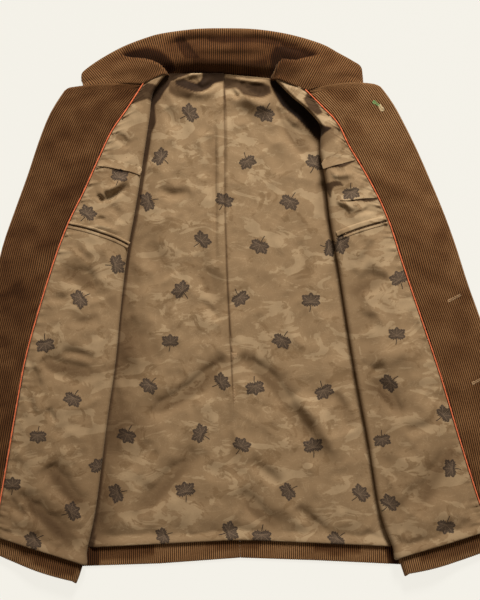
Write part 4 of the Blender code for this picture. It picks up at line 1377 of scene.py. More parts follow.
class Finishes:
    """All the jacket's finishes, made once."""

    def __init__(self) -> None:
        """Make each material."""
        self.corduroy = CorduroyFinish().material()
        self.lining = LiningFinish().material()
        self.piping = self.thread("piping cord", (212, 106, 60), (152, 66, 34), 0.55)
        self.brown_thread = self.thread("tan thread", (172, 138, 98), (120, 90, 60))
        self.pale_thread = self.thread("pale thread", (222, 202, 158), (176, 150, 106))
        self.green_thread = self.thread("green thread", (124, 166, 100), (78, 112, 60))
        self.button = ButtonFinish().material()

    @staticmethod
    def thread(name: str, colour: tuple[int, int, int], shadow: tuple[int, int, int],
               strands: float = 1.2) -> Material:
        """A cord's or thread's material from its two screen colours."""
        return ThreadFinish(name, tint(*colour), tint(*shadow), strands).material()


class Slot(Enum):
    """Names of material slots."""

    CORDUROY = "corduroy"
    LINING = "lining"
    PIPING = "piping"
    BUTTON = "button"


class Held(Enum):
    """How a sheet of cloth is held."""

    LAID = "laid"
    FOLDED = "folded"


@dataclass(frozen=True)
class Cut:
    """The flat piece of cloth that a panel is cut from, in metres.

    Attributes:
        width: Across the grain.
        length: Along the grain.
        area: Area of the cut itself.
    """

    width: float
    length: float
    area: float

    @classmethod
    def of(cls, points: Array) -> "Cut":
        """Measure the smooth surface that a panel covers.

        Args:
            points: Rows by columns by x, y, z in millimetres.

        Returns:
            The cut that it was made from.
        """
        wide = np.linalg.norm(np.diff(points, axis=1), axis=-1).sum(axis=1).max() * MM
        long = np.linalg.norm(np.diff(points, axis=0), axis=-1).sum(axis=0).max() * MM
        first = points[1:, 1:] - points[:-1, :-1]
        second = points[1:, :-1] - points[:-1, 1:]
        area = np.linalg.norm(np.cross(first, second), axis=-1).sum() / 2 * MM * MM
        return cls(round(wide, 3), round(long, 3), round(min(area, wide * long), 4))


def settle(piece: Piece, nodes: tuple[str, ...] = ()) -> None:
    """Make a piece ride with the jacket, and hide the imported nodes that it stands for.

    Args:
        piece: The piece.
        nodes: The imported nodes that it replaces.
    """
    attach(piece, BODY)
    if nodes:
        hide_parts(*nodes)
    log.info("made %s", piece.name)


def leaf_values(piece: Piece, leaves: Rows) -> None:
    """Keep each face's place inside its nearest printed leaf, in the leaf's own coordinates.

    Args:
        piece: A lining whose mesh has the value print.
        leaves: Rows of x, y, turn and size.
    """
    mesh = piece.data
    printed = read_all(mesh.attributes["print"].data, "vector", np.float32, 3).reshape(-1, 3)[:, :2]
    corners = printed[read_all(mesh.loops, "vertex_index", np.int32)].astype(float)
    starts = read_all(mesh.polygons, "loop_start", np.int32)
    totals = read_all(mesh.polygons, "loop_total", np.int32)
    middles = np.add.reduceat(corners, starts, axis=0) / totals[:, None]
    table = np.array(leaves, dtype=float)
    gaps = np.linalg.norm(middles[:, None] - table[None, :, :2], axis=-1)
    owner = np.repeat(gaps.argmin(axis=1), totals)
    turn = np.radians(table[owner, 2])
    offset = (corners - table[owner, :2]) / (LEAF_SIZE * table[owner, 3])[:, None]
    x = offset[:, 0] * np.cos(turn) + offset[:, 1] * np.sin(turn)
    y = -offset[:, 0] * np.sin(turn) + offset[:, 1] * np.cos(turn)
    keep_value(mesh, "leaf", np.stack((x, y, np.zeros(len(x))), axis=-1), "CORNER")


# ---------------------------------------------------------------- what lies under the fronts
def back_outline() -> Array:
    """Plan of the back, all round.

    Returns:
        Its points.
    """
    right = columns(BACK_COLUMNS, BACK_RIGHT)
    left = columns(BACK_COLUMNS, BACK_LEFT)
    neck = (plan_line(left, "neck")[:1], plan_line(right, "neck")[:1])
    return np.concatenate((plan_line(right, "side"), plan_line(left, "side")[::-1], *neck))


def sleeve_outline(table: Rows) -> Array:
    """Plan of a sleeve, all round."""
    sleeve = columns(SLEEVE_COLUMNS, table)
    return np.concatenate((plan_line(sleeve, "over"), plan_line(sleeve, "under")[::-1]))


def sleeve_bed(points: Array) -> Array:
    """Height of what a sleeve lies on."""
    return SLEEVE_BED * sinking(distance_outside(points, back_outline()))


def flap_bed(points: Array, sleeve_table: Rows) -> Array:
    """Height of what the upper leg of a front lies on.

    Args:
        points: Places in plan.
        sleeve_table: The sleeve folded in under it.

    Returns:
        The height of the back, the under leg and the sleeve there.
    """
    over_back = distance_outside(points, back_outline())
    over_sleeve = distance_outside(points, sleeve_outline(sleeve_table))
    covered = np.minimum(over_back, over_sleeve)
    return SLEEVE_BED * sinking(over_back) + (SLEEVE_LOFT + GAP) * sinking(covered)


# ---------------------------------------------------------------- the fronts
@dataclass
class FrontShape:
    """The face between corduroy and lining of a front, read as finely as a panel needs it.

    Attributes:
        table: Rows of FRONT_COLUMNS.
        sleeve_table: Rows of the sleeve folded in under the upper leg.
        under_steps: Lines on the under leg.
        fold_steps: Steps round the fold between the legs.
        lining_steps: Steps from the fold to the piping.
        facing_steps: Steps from the piping to the front edge.
    """

    table: Rows
    sleeve_table: Rows
    under_steps: int = 4
    fold_steps: int = 16
    lining_steps: int = 40
    facing_steps: int = 36

    @property
    def flap_start(self) -> int:
        """Column where the upper leg starts."""
        return 2 + self.under_steps + self.fold_steps

    @property
    def seam_column(self) -> int:
        """Column where the lining meets the piping."""
        return self.flap_start + self.lining_steps

    def surface(self, places: Array) -> Array:
        """Read the surface at row numbers.

        Args:
            places: Row numbers of the table, not always whole.

        Returns:
            Rows by columns by x, y, z, from side seam to front edge.
        """
        front = at_rows(FRONT_COLUMNS, self.table, places)
        side, fold, seam, edge = (plan_line(front, name) for name in ("side", "fold", "seam", "edge"))
        inward = unit(fold - side)
        back_out = unit(seam - fold)
        nose = unit(inward - back_out)
        near_fold = flap_bed(fold, self.sleeve_table) + CORDUROY + front["fold_up"]
        radius = (near_fold - LEG_FACE) / 2
        heart = fold - nose * (radius + GAP + LINING)[:, None]
        middle = (near_fold + LEG_FACE) / 2
        sewn = ease((ARMHOLE_END - front["side_y"]) / SIDE_SEAM_RUN) * math.pi / 2
        lines = []
        for share in (1.0, 0.5):
            reach = SIDE_TURN * share * np.cos(sewn)
            fall = (LEG_FACE - BACK_FACE - GAP) * share * np.sin(sewn)
            lines.append(lifted(side - inward * (reach + GAP)[:, None], LEG_FACE - fall))
        first = side + inward * SIDE_BEND
        for step in range(self.under_steps):
            lines.append(lifted(first + (heart - first) * (step / self.under_steps), LEG_FACE))
        for step in range(self.fold_steps + 1):
            turn = math.pi * (step / self.fold_steps - 0.5)
            plan = heart + nose * (radius * math.cos(turn))[:, None]
            lines.append(lifted(plan, middle + radius * math.sin(turn)))
        out = unit(edge - seam)
        course = unit(np.gradient(seam, axis=0))
        before = seam - back_out * self.slot_share(back_out, course)
        beyond = seam + out * self.slot_share(out, course)
        lines += self.flap_lines(heart, before, self.lining_steps, front["lining_bow"],
                                 front["fold_up"], front["seam_up"])[1:]
        lines += self.flap_lines(beyond, edge, self.facing_steps, front["facing_bow"],
                                 front["seam_up"], front["edge_up"])
        return self.round_lapel(np.stack(lines, axis=1))

    def flap_lines(self, start: Array, end: Array, steps: int, bow: Array, low: Array,
                   high: Array) -> list[Array]:
        """Lines down the upper leg, from one of its courses to the next.

        Args:
            start: The first course in plan.
            end: The last course in plan.
            steps: Steps between them.
            bow: How far the rows bow towards the collar.
            low: How far the first course stands off.
            high: How far the last course stands off.

        Returns:
            The lines, with both courses.
        """
        lines = []
        for step in range(steps + 1):
            share = step / steps
            plan = start + (end - start) * share
            plan[:, 1] += bow * 4 * share * (1 - share)
            bed = flap_bed(plan, self.sleeve_table)
            lines.append(lifted(plan, bed + CORDUROY + low + (high - low) * ease(share)))
        return lines

    def round_lapel(self, surface: Array) -> Array:
        """Round the lapel's corner in plan.

        Args:
            surface: The front's surface, which is changed.

        Returns:
            The same surface.
        """
        table = columns(FRONT_COLUMNS, self.table)
        seam = plan_line(table, "seam")
        edge = plan_line(table, "edge")
        corner = edge[0]
        sides = np.stack((unit(seam[0] - corner), unit(along(edge, np.array(LAPEL_COURSE)) - corner)))
        flap = surface[:, self.seam_column + 1:]
        part = 1.0 - (flap[..., :2] - corner) @ np.linalg.inv(sides) / LAPEL_ROUND
        inside = np.clip(part, 0.0, LAPEL_END)
        drawn = part * np.sqrt(1.0 - inside[..., ::-1] ** 2 / 2)
        near = (part > 0.0).all(axis=-1, keepdims=True)
        flap[..., :2] = np.where(near, corner + (1.0 - drawn) * LAPEL_ROUND @ sides, flap[..., :2])
        return surface

    def strays(self, points: Array) -> Array:
        """How far the rounded front edge lies in from the straight line that the grain keeps to.

        Args:
            points: Points down the edge.

        Returns:
            The distance of each, which is 0 above the rounding.
        """
        edge = plan_line(columns(FRONT_COLUMNS, self.table), "edge")[list(GRAIN_ROWS)]
        course = unit(edge[1] - edge[0])
        past = points[..., :2] - edge[1]
        off = np.abs(past[..., 0] * course[1] - past[..., 1] * course[0])
        return np.where(past @ course > 0, off, 0.0)

    @staticmethod
    def slot_share(row: Array, course: Array) -> Array:
        """Half the piping's slot, measured along a row that meets the seam's course at a slant."""
        slant = np.abs(row[:, 0] * course[:, 1] - row[:, 1] * course[:, 0])
        return (PIPING_SLOT / 2 / np.maximum(slant, LEAST_SLANT))[:, None]


def lining_slack(points: Array, folds: Rows, creases: Rows, rim: Array, held: Array, seed: int) -> Array:
    """How far a loose lining stands off the corduroy.

    Args:
        points: Places on it.
        folds: The large folds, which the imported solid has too.
        creases: The finer ones.
        rim: The seams that hold it down, all round.
        held: Distance from the edges at which creases end.
        seed: Chooses the small unevenness.

    Returns:
        The height in millimetres: nothing at the rim, more inside, with the folds.
    """
    gap, _, _ = distance_to_line(points[..., :2], rim, closed=True)
    free = ease(gap / PUFF_RUN)
    near = ease(held / CREASE_RUN)
    soft = swells(points, SWELLS, seed)
    for number, (height, size) in enumerate(CRUMPLES, len(SWELLS)):
        soft = soft + height * (CRUMPLE_LEVEL - np.abs(soft_noise(points, size, seed + number)))
    large = free * np.maximum(LINING_PUFF + FOLD_GAIN * fold_relief(points, folds), 0.0)
    return np.maximum(large + near * (CREASE_GAIN * fold_relief(points, creases) + soft), 0.0)


def puckers(run: Array, distance: Array, seed: int) -> Array:
    """Small gathers where a lining is sewn to the piping.

    Args:
        run: Distance along the seam.
        distance: Distance in from it.
        seed: Chooses where they fall.

    Returns:
        Their height in millimetres.
    """
    dice = np.random.default_rng(seed)
    wave = np.zeros_like(run)
    for length in PUCKER_LENGTHS:
        wave += np.sin(2 * math.pi * run / length + dice.uniform(0, 2 * math.pi))
    rise = np.exp(-distance / PUCKER_RUN) * ease(distance / PUCKER_START)
    return PUCKER_HEIGHT * np.maximum(wave, PUCKER_DIP) * rise


def hem_lift(distance: Array) -> Array:
    """How far a lining's hem stands off at distances up from it."""
    return HEM_LIFT * hump(distance, HEM_REACH)


def hem_roll(points: Array, normals: Array, printed: Array) -> tuple[Array, Array, Array]:
    """Add rows that turn a lining's last row under.

    Args:
        points: The lining's good side, ending at the hem.
        normals: Its directions.
        printed: Its places in the print.

    Returns:
        The points, directions and places with the new rows.
    """
    course = unit(points[-1] - points[-2])
    radius = np.clip(points[-1, :, 2:] / 2 - GAP, LEAST_ROLL, HEM_ROLL)
    rows = [points]
    stands = [normals]
    prints = [printed]
    travelled = 0.0
    for degrees in range(ARC_STEP, 181, ARC_STEP):
        turn = math.radians(degrees)
        travelled += HEM_ROLL * math.radians(ARC_STEP)
        drop = normals[-1] * (radius * (1 - math.cos(turn)))
        rows.append((points[-1] + course * (radius * math.sin(turn)) - drop)[None])
        stands.append((normals[-1] * math.cos(turn) + course * math.sin(turn))[None])
        prints.append((printed[-1] + course * travelled)[None])
    rows.append(rows[-1] - course * HEM_TUCK)
    stands.append(stands[-1])
    prints.append(prints[-1] + course * HEM_TUCK)
    return np.concatenate(rows), np.concatenate(stands), np.concatenate(prints)


def darkness(points: Array, holes: tuple[Hole, ...]) -> Array:
    """How deep in shade places are, inside hollows that light hardly reaches.

    Args:
        points: Places whose last axis starts with x and y.
        holes: For each hollow, how dark it is, how softly it ends, and its outline.

    Returns:
        0 in the open to 1 in the dark.
    """
    shade = np.zeros(points.shape[:-1])
    for dark, soft, outline in holes:
        gap = distance_outside(points[..., :2], np.array(outline, dtype=float))
        shade = np.maximum(shade, dark * fading(gap, 0.0, soft))
    return shade


def hem_shade(points: Array, count: int) -> Array:
    """How deep a panel's turned-up hem is in the shadow of the lining's hem.

    Args:
        points: Places on the panel.
        count: Its rows above the hem.

    Returns:
        The shade, with none on the outside of the panel.
    """
    shade = darkness(points, HEM_HOLES)
    shade[:count + HEM_ROWS + 2] = 0.0
    return shade


def crease_shade(points: Array, *tables: Rows) -> Array:
    """How far the bottoms of folds are in shade."""
    depth = sum(np.maximum(-fold_relief(points, table), 0.0) for table in tables)
    return np.minimum(depth * CREASE_DARK, CREASE_DARKEST)


def turned_hem(surface_at: Callable[[Array], Array], normal_sign: float,
               count: int) -> tuple[Array, Array, Array]:
    """The good side of a panel whose hem is turned up over its inside.

    Args:
        surface_at: Gives the panel's inner face at row numbers.
        normal_sign: The sign with which outward() leaves the inside.
        count: Rows above the hem.

    Returns:
        The smooth inner face, and the good side's points and directions.
    """
    below = np.linspace(HEM_LINE + HEM_STEP, LAST_ROW, HEM_ROWS)
    places = np.concatenate((np.linspace(0, HEM_LINE, count), below))
    smooth = surface_at(places)
    normals = outward(smooth, normal_sign)
    depth = np.where(places > HEM_LINE, CORDUROY + HEM_TURN, CORDUROY)[:, None, None]
    outer = smooth - normals * depth
    up_places = np.linspace(LAST_ROW, TURN_END, TURN_ROWS)
    inner = surface_at(up_places)
    up = outward(inner, -normal_sign)
    above = inner + up * np.where(up_places > HEM_LINE, TURN_UP, TURN_UP + CORDUROY - GAP)[:, None, None]
    course = unit(smooth[-1] - smooth[-2])
    middle = (outer[-1] + above[0]) / 2
    half = (above[0] - outer[-1]) / 2
    reach = np.linalg.norm(half, axis=-1, keepdims=True)
    rows, stands = [outer], [-normals]
    for degrees in range(-60, 61, ARC_STEP):
        turn = math.radians(degrees)
        rows.append((middle + half * math.sin(turn) + course * reach * math.cos(turn))[None])
        stands.append((unit(half) * math.sin(turn) + course * math.cos(turn))[None])
    return smooth, np.concatenate(rows + [above]), unit(np.concatenate(stands + [up]))


def wale_values(points: Array, across: Array, tone_and_painted_light: Array | float) -> dict[str, Array]:
    """The values that the corduroy's finish reads, for ribs that run down the rows.

    Args:
        points: Places on the cloth.
        across: Their distances across the ribs.
        tone_and_painted_light: How much lighter the cloth is there, from random blotches and from painted
            light.

    Returns:
        The values by their names, with no shade.
    """
    return {"wale": across, "run": running(points), "tone_and_painted_light": np.broadcast_to(tone_and_painted_light, across.shape),
            "shade": np.zeros(across.shape)}


def edge_wall(sunk: Array) -> Array:
    """The share of the ground's thickness left where an edge has sunk."""
    return np.clip(1.0 - sunk / GROUND, 0.0, 1.0)


def lightness_and_blotches(points: Array, table: Rows, seed: int) -> Array:
    """How much lighter the cloth is: a table read down it, and random brushed blotches.

    Args:
        points: Places on the cloth.
        table: Rows of y and lightness, from the collar down.
        seed: Chooses the blotches.

    Returns:
        What is added to 1 to multiply the colour.
    """
    blotch = swells(points[..., :2] * np.array(NAP_STRETCH), NAP_BLOTCHES, seed)
    return downwards(points[..., 1], table) + np.clip(blotch, -NAP_LIMIT, NAP_LIMIT)


def painted_rim_highlight(distance: Array, gain: float) -> Array:
    """Painted highlight along an edge: how much lighter the ribs are at distances in from it."""
    return gain * hump(distance, RIM_RUN)


@dataclass
class Front:
    """One front: corduroy, lining, facing and piping.

    Attributes:
        side: "right" or "left", the wearer's.
        sign: 1 for the right side and -1 for the left.
        table: Rows of FRONT_COLUMNS.
        sleeve_table: The sleeve under it.
        folds: The lining's large folds.
        creases: Its finer ones.
        leaves: Its printed leaves.
        holes: Painted shade in hollows on it and its facing.
        painted_light_table: Painted light on the facing: how much lighter it is from the collar down.
        dims: Painted shade: how much darker the lining gets downwards.
        seed: Chooses the small unevenness.
    """

    side: str
    sign: float
    table: Rows
    sleeve_table: Rows
    folds: Rows
    creases: Rows
    leaves: Rows
    holes: tuple
    painted_light_table: Rows
    dims: Rows
    seed: int
    corduroy_rows: int = 36
    facing_rows: int = 84
    lining_rows: int = 270
    piping_rows: int = 420
    hidden_columns: int = 8  # the lining's columns round the fold that are finished plainly
    least_gather: float = -0.2
    darkest: float = 0.97

    def build(self, finishes: Finishes, pocket: "Pocket", tucks: "tuple[Tuck, ...]") -> None:
        """Build all the front's pieces.

        Args:
            finishes: The jacket's finishes.
            pocket: The pocket on its lining.
            tucks: The seams across its lining.
        """
        self.shape = FrontShape(self.table, self.sleeve_table)
        self.make_corduroy(finishes)
        self.make_facing(finishes, self.make_piping(finishes))
        self.make_lining(finishes, pocket, tucks)

    def make_corduroy(self, finishes: Finishes) -> None:
        """The corduroy front, from the side seam round the fold to the front edge, with its hem.

        Args:
            finishes: The jacket's finishes.
        """
        smooth, outer, stand = turned_hem(self.shape.surface, self.sign, self.corduroy_rows)
        strays = self.shape.strays(outer[:, -1])
        points, stand, across, ends = ribbed(outer, stand, 4, strays=strays)
        sunk = turned(across - strays[:, None])
        values = wale_values(points, across, lightness_and_blotches(points, HEM_LIGHTNESS, self.seed + 7))
        values["wall"] = edge_wall(sunk)
        values["shade"] = hem_shade(points, self.corduroy_rows)
        relief = RIB * (rib(across) - 1.0) - sunk
        grid = Grid(points + stand * relief[..., None], stand, values, ends)
        piece = make_mesh("front_" + self.side + "_cloth", grid, finishes.corduroy, GROUND)
        settle(piece, ("front_" + self.side,))
        Cut.of(smooth)

    def make_facing(self, finishes: Finishes, piping: Piece) -> None:
        """The facing with the lapel's inner face, its ribs parallel to the front edge.

        Args:
            finishes: The jacket's finishes.
            piping: The cord that is sewn in along it; not used.
        """
        rows = np.linspace(0, LAST_ROW, self.facing_rows)
        smooth = self.shape.surface(rows)[:, self.shape.seam_column + 1:]
        normals = outward(smooth, self.sign)
        points, stand, across, reach = ribbed(smooth, normals, 6, row_slant(smooth))
        ends = [np.linalg.norm(points - points[row], axis=-1) for row in (0, -1)]
        inner = np.take_along_axis(across, np.broadcast_to(reach[:, 1:], across.shape), axis=1) - across
        ends[0] = ends[0] + NOTCH_SUNK * EDGE_ROUND * (across > (1.0 - NOTCH_SHARE) * across.max())
        sunk = turned(np.minimum(np.minimum(across, inner), np.minimum(*ends)))
        uneven = FACING_WAVE * soft_noise(points * np.array(FACING_STRETCH), FACING_HUMP, self.seed + 5)
        relief = GAP + CORDUROY - RIB + RIB * rib(across) - sunk + FACING_REST
        relief = relief + ease(np.minimum(across, inner) / FACING_RISE) * (uneven + FACING_WAVE)
        # the facing's painted light and random blotches, and a painted highlight along its edges
        tone_and_painted_light = lightness_and_blotches(points, self.painted_light_table, self.seed + 8) + painted_rim_highlight(np.minimum(across, ends[0]), FACING_RIM_HIGHLIGHT)
        values = wale_values(points, across, tone_and_painted_light)
        values["wall"] = edge_wall(sunk)
        values["shade"] = darkness(points, self.holes)
        grid = Grid(points + stand * relief[..., None], stand, values, reach)
        piece = make_mesh("facing_" + self.side + "_cloth", grid, finishes.corduroy, GROUND)
        settle(piece, ("facing_" + self.side,))
        Cut.of(smooth)
        self.facing_top = grid.points

    def make_lining(self, finishes: Finishes, pocket: "Pocket", tucks: "tuple[Tuck, ...]") -> None:
        """The lining, loose from fold to piping, with folds, creases, gathers and a rolled hem.

        Args:
            finishes: The jacket's finishes.
            pocket: The pocket on it.
            tucks: The seams across it.
        """
        shape = FrontShape(self.table, self.sleeve_table, under_steps=4, fold_steps=14, lining_steps=62,
                           facing_steps=2)
        surface = shape.surface(np.linspace(0, HEM_LINE, self.lining_rows))[:, 2:shape.seam_column + 1]
        start = shape.flap_start - 2
        hidden = start - self.hidden_columns
        normals = outward(surface, self.sign)
        flap = surface[:, start:]
        rim = np.concatenate((flap[0, :, :2], flap[:, -1, :2], flap[-1, ::-1, :2], flap[::-1, 0, :2]))
        seam = flap[:, -1]
        from_seam = np.linalg.norm(flap - seam[:, None], axis=-1)
        held = np.minimum(from_seam, np.linalg.norm(flap - flap[:, :1], axis=-1))
        gathers = puckers(np.broadcast_to(running(seam)[:, None], from_seam.shape), from_seam, self.seed + 9)
        slack = np.zeros(surface.shape[:2])
        slack[:, start:] = lining_slack(flap, self.folds, self.creases, rim[::4], held, self.seed)
        slack[:, start:] += np.maximum(gathers, self.least_gather)
        lift = hem_lift(np.linalg.norm(surface - surface[-1:], axis=-1))
        lift[:, :hidden] = 0.0
        lift[:, start:] *= ease(from_seam / HEM_REACH)
        points = surface + normals * (GAP + LINING + np.maximum(slack, lift))[..., None]
        points, stand, printed = hem_roll(points, normals, lifted(surface[..., :2], 0.0))
        shade = downwards(printed[..., 1], self.dims) + crease_shade(printed, self.folds, self.creases)
        holes = self.holes + (pocket.hollow(),) + tuple(tuck.hollow() for tuck in tucks)
        shade = np.maximum(shade, darkness(printed, holes))
        shade[:, :hidden] = 0.0
        grid = Grid(points, stand, {"print": printed, "shade": np.minimum(shade, self.darkest)})
        piece = make_mesh("front_lining_" + self.side + "_cloth", grid, finishes.lining, LINING)
        leaf_values(piece, self.leaves)
        settle(piece, ("front_lining_" + self.side,))
        self.lining_ground = Ground(points[:self.lining_rows, start:])
        trim = pocket.build(finishes, self.lining_ground, self.leaves)
        for tuck in tucks:
            trim.append(tuck.build(finishes, self.lining_ground, self.leaves))
        Cut.of(surface)

    def make_piping(self, finishes: Finishes) -> Piece:
        """The corded edge between lining and facing.

        Args:
            finishes: The jacket's finishes.

        Returns:
            The cord.
        """
        surface = self.shape.surface(np.linspace(0, LAST_ROW, self.piping_rows))
        seam = self.shape.seam_column
        normals = outward(surface, self.sign)[:, seam]
        route = (surface[:, seam] + surface[:, seam + 1]) / 2 + normals * (GAP + PIPING / 2 + PIPING_UP)
        route = route + normals * (PIPING_WAVE * soft_noise(route, 7.0, self.seed + 3))[:, None]
        radius = PIPING / 2 * (PIPING_BODY + PIPING_KNOTS * soft_noise(route, 4.0, self.seed + 4))
        piece = cord_mesh("piping_" + self.side + "_cord", *tube_parts(route, radius, 10), finishes.piping)
        settle(piece, ("piping_" + self.side,))
        return piece


# ---------------------------------------------------------------- the back
def back_lines(table: Rows, places: Array, steps: int) -> Array:
    """One half of the back in plan, from side to centre.

    Args:
        table: Rows of BACK_COLUMNS.
        places: Row numbers.
        steps: Steps from side to neck line, and again to the centre.

    Returns:
        Rows by columns by x and y.
    """
    back = at_rows(BACK_COLUMNS, table, places)
    side, neck, centre = (plan_line(back, name) for name in ("side", "neck", "centre"))
    centre[:, 0] += math.copysign(SEAM_HALF, table[0][0])
    lines = [side + (neck - side) * step / steps for step in range(steps)]
    lines += [neck + (centre - neck) * step / steps for step in range(steps + 1)]
    return np.stack(lines, axis=1)


@dataclass
class Back:
    """The two corduroy halves of the back and the pleated lining over them."""

    corduroy_rows: int = 26
    half_steps: int = 8
    seam_in: float = 0.4  # the centre seam's turned edges: how far they start in, how far they sink
    seam_sunk: float = 0.7
    nap_seed: int = 41
    lining_rows: int = 262
    lining_seed: int = 31
    side_steps: int = 54
    side_level: float = 0.35  # share of the right side that stays level before it rises to the pleat
    under_front: tuple[float, ...] = (0.02, 0.5, 0.9)  # shares from side seam to front, out of sight
    past_pleat: tuple[float, ...] = (0.06, 0.13, 0.2, 0.3, 0.5, 0.75)
    pleat_turn: int = 6
    pleat_between: int = 9
    pleat_above: int = 15
    pleat_beside: float = 12.0
    pleat_least: float = 4.0  # a pleat that opens out is still this deep
    pleat_open: float = 14.0  # and takes this width where it lies flat
    pleat_dark: float = 1.7  # width of the painted shade beside it
    pleat_dark_at: float = 1.2
    over_neck: float = 0.07  # rows by which the lining laps over the collar's seam
    neck_lift: float = 2.6
    neck_run: float = 8.0
    edge_run: float = 12.0
    gap_in: float = 1.5  # beside a front the painted shade ends this far before the gap's width
    gap_soft: float = 4.0  # and fades over this
    gap_veil: float = 0.35  # a lighter shade goes on past it
    gap_veil_width: float = 2.2  # as far as this many widths

    def build(self, finishes: Finishes, right: FrontShape, left: FrontShape) -> None:
        """Build the back's pieces.

        Args:
            finishes: The jacket's finishes.
            right: The right front, whose fold the lining runs under.
            left: The left front.
        """
        for side, table, sign in (("right", BACK_RIGHT, 1.0), ("left", BACK_LEFT, -1.0)):
            self.make_half(side, table, sign, finishes)
        self.make_lining(finishes, right, left)

    def make_half(self, side: str, table: Rows, sign: float, finishes: Finishes) -> None:
        """One half of the corduroy back, flat on the floor, its ribs parallel to the centre seam.

        Args:
            side: "right" or "left", the wearer's.
            table: Rows of BACK_COLUMNS.
            sign: 1 for the right side and -1 for the left.
            finishes: The jacket's finishes.
        """
        def surface_at(places: Array) -> Array:
            """The half's inner face at row numbers."""
            level = np.where(places > HEM_LINE, BACK_FACE + HEM_TURN, BACK_FACE)
            return lifted(back_lines(table, places, self.half_steps), level[:, None])

        smooth, outer, stand = turned_hem(surface_at, -sign, self.corduroy_rows)
        points, stand, across, ends = ribbed(outer, stand, 4)
        sunk = turned(across + self.seam_in) * self.seam_sunk
        relief = RIB * (rib(across) - 1.0) - sunk
        values = wale_values(points, across, lightness_and_blotches(points, HEM_LIGHTNESS, self.nap_seed))
        values["wall"] = edge_wall(sunk)
        values["shade"] = hem_shade(points, self.corduroy_rows)
        grid = Grid(points + stand * relief[..., None], stand, values, ends)
        piece = make_mesh("back_" + side + "_cloth", grid, finishes.corduroy, GROUND)
        settle(piece, ("back_" + side,))
        Cut.of(smooth)

    def pleat_section(self, edge_x: float, depth: float, height: float) -> list[Place]:
        """Places and heights across the pleat as it folds under and comes forward again.

        Args:
            edge_x: Where its folded edge is.
            depth: How deep it folds under.
            height: 1 where it is folded, 0 where it has opened out flat.

        Returns:
            The places and heights, from the right side to the left.
        """
        layer = LINING + GAP
        radius = layer / 2
        folded = []
        back_x = edge_x - max(depth, self.pleat_least)
        for middle, level, way in ((edge_x, 1.5, -1.0), (back_x, 0.5, 1.0)):
            for step in range(self.pleat_turn + 1):
                turn = math.pi * (0.5 + way * step / self.pleat_turn)
                folded.append((middle + radius * math.cos(turn), level * layer + radius * math.sin(turn)))
            if middle == edge_x:
                folded += [(edge_x + (back_x - edge_x) * step / self.pleat_between, layer)
                           for step in range(1, self.pleat_between)]
        flat = np.linspace(edge_x, edge_x + self.pleat_open, len(folded))
        return [(open_x + (x - open_x) * height, z * height) for (x, z), open_x in zip(folded, flat)]

    def row_start(self, half: Array, fold: Array) -> tuple[list[Point], Array]:
        """Where a lining row starts at the side and where it comes out from under the front.

        Args:
            half: The back's row, from side to centre.
            fold: The front's fold line in plan.

        Returns:
            The row's hidden points and its place just past the fold.
        """
        order = np.argsort(half[:, 0])
        xs, ys = half[order, 0], half[order, 1]
        fold_x = half[0, 0]
        for _ in range(4):
            fold_y = np.interp(fold_x, xs, ys)
            fold_x = np.interp(-fold_y, -fold[:, 1], fold[:, 0])
        hidden = [half[0, 0] + (fold_x - half[0, 0]) * share for share in self.under_front]
        start = np.array((fold_x, np.interp(fold_x, xs, ys)))
        return [(x, float(np.interp(x, xs, ys)), 0.0) for x in hidden], start

    def lining_row(self, halves: tuple[Array, Array], folds: tuple[Array, Array],
                   section: list[Place], depth: float) -> list[Point]:
        """One row of the lining, from the right side seam over the pleat to the left.

        Args:
            halves: The back's two rows, each from side to centre.
            folds: The fronts' fold lines in plan.
            section: The pleat's places and heights.
            depth: How deep it folds under.

        Returns:
            The row's points, from the back's inner face up.
        """
        middle_y = halves[0][-1, 1]
        first_x, first_z = section[0]
        near = first_x - max(depth, 0.0) - self.pleat_beside
        line, start = self.row_start(halves[0], folds[0])
        for step in range(self.side_steps + 1):
            share = step / self.side_steps
            place = start + (np.array((near, middle_y)) - start) * share
            rise = ease(np.array((share - self.side_level) / (1.0 - self.side_level)))
            line.append((place[0], place[1], first_z * float(rise)))
        span = first_x - near
        for step in range(1, self.pleat_above):
            line.append((near + span * step / self.pleat_above, middle_y, first_z))
        line += [(x, middle_y, z) for x, z in section]
        hidden, end = self.row_start(halves[1], folds[1])
        last_x = section[-1][0]
        start = np.array((last_x + self.pleat_beside, middle_y))
        line += [(last_x + self.pleat_beside * share, middle_y, 0.0) for share in self.past_pleat]
        for step in range(self.side_steps + 1):
            place = start + (end - start) * (step / self.side_steps)
            line.append((place[0], place[1], 0.0))
        return line + hidden[::-1]

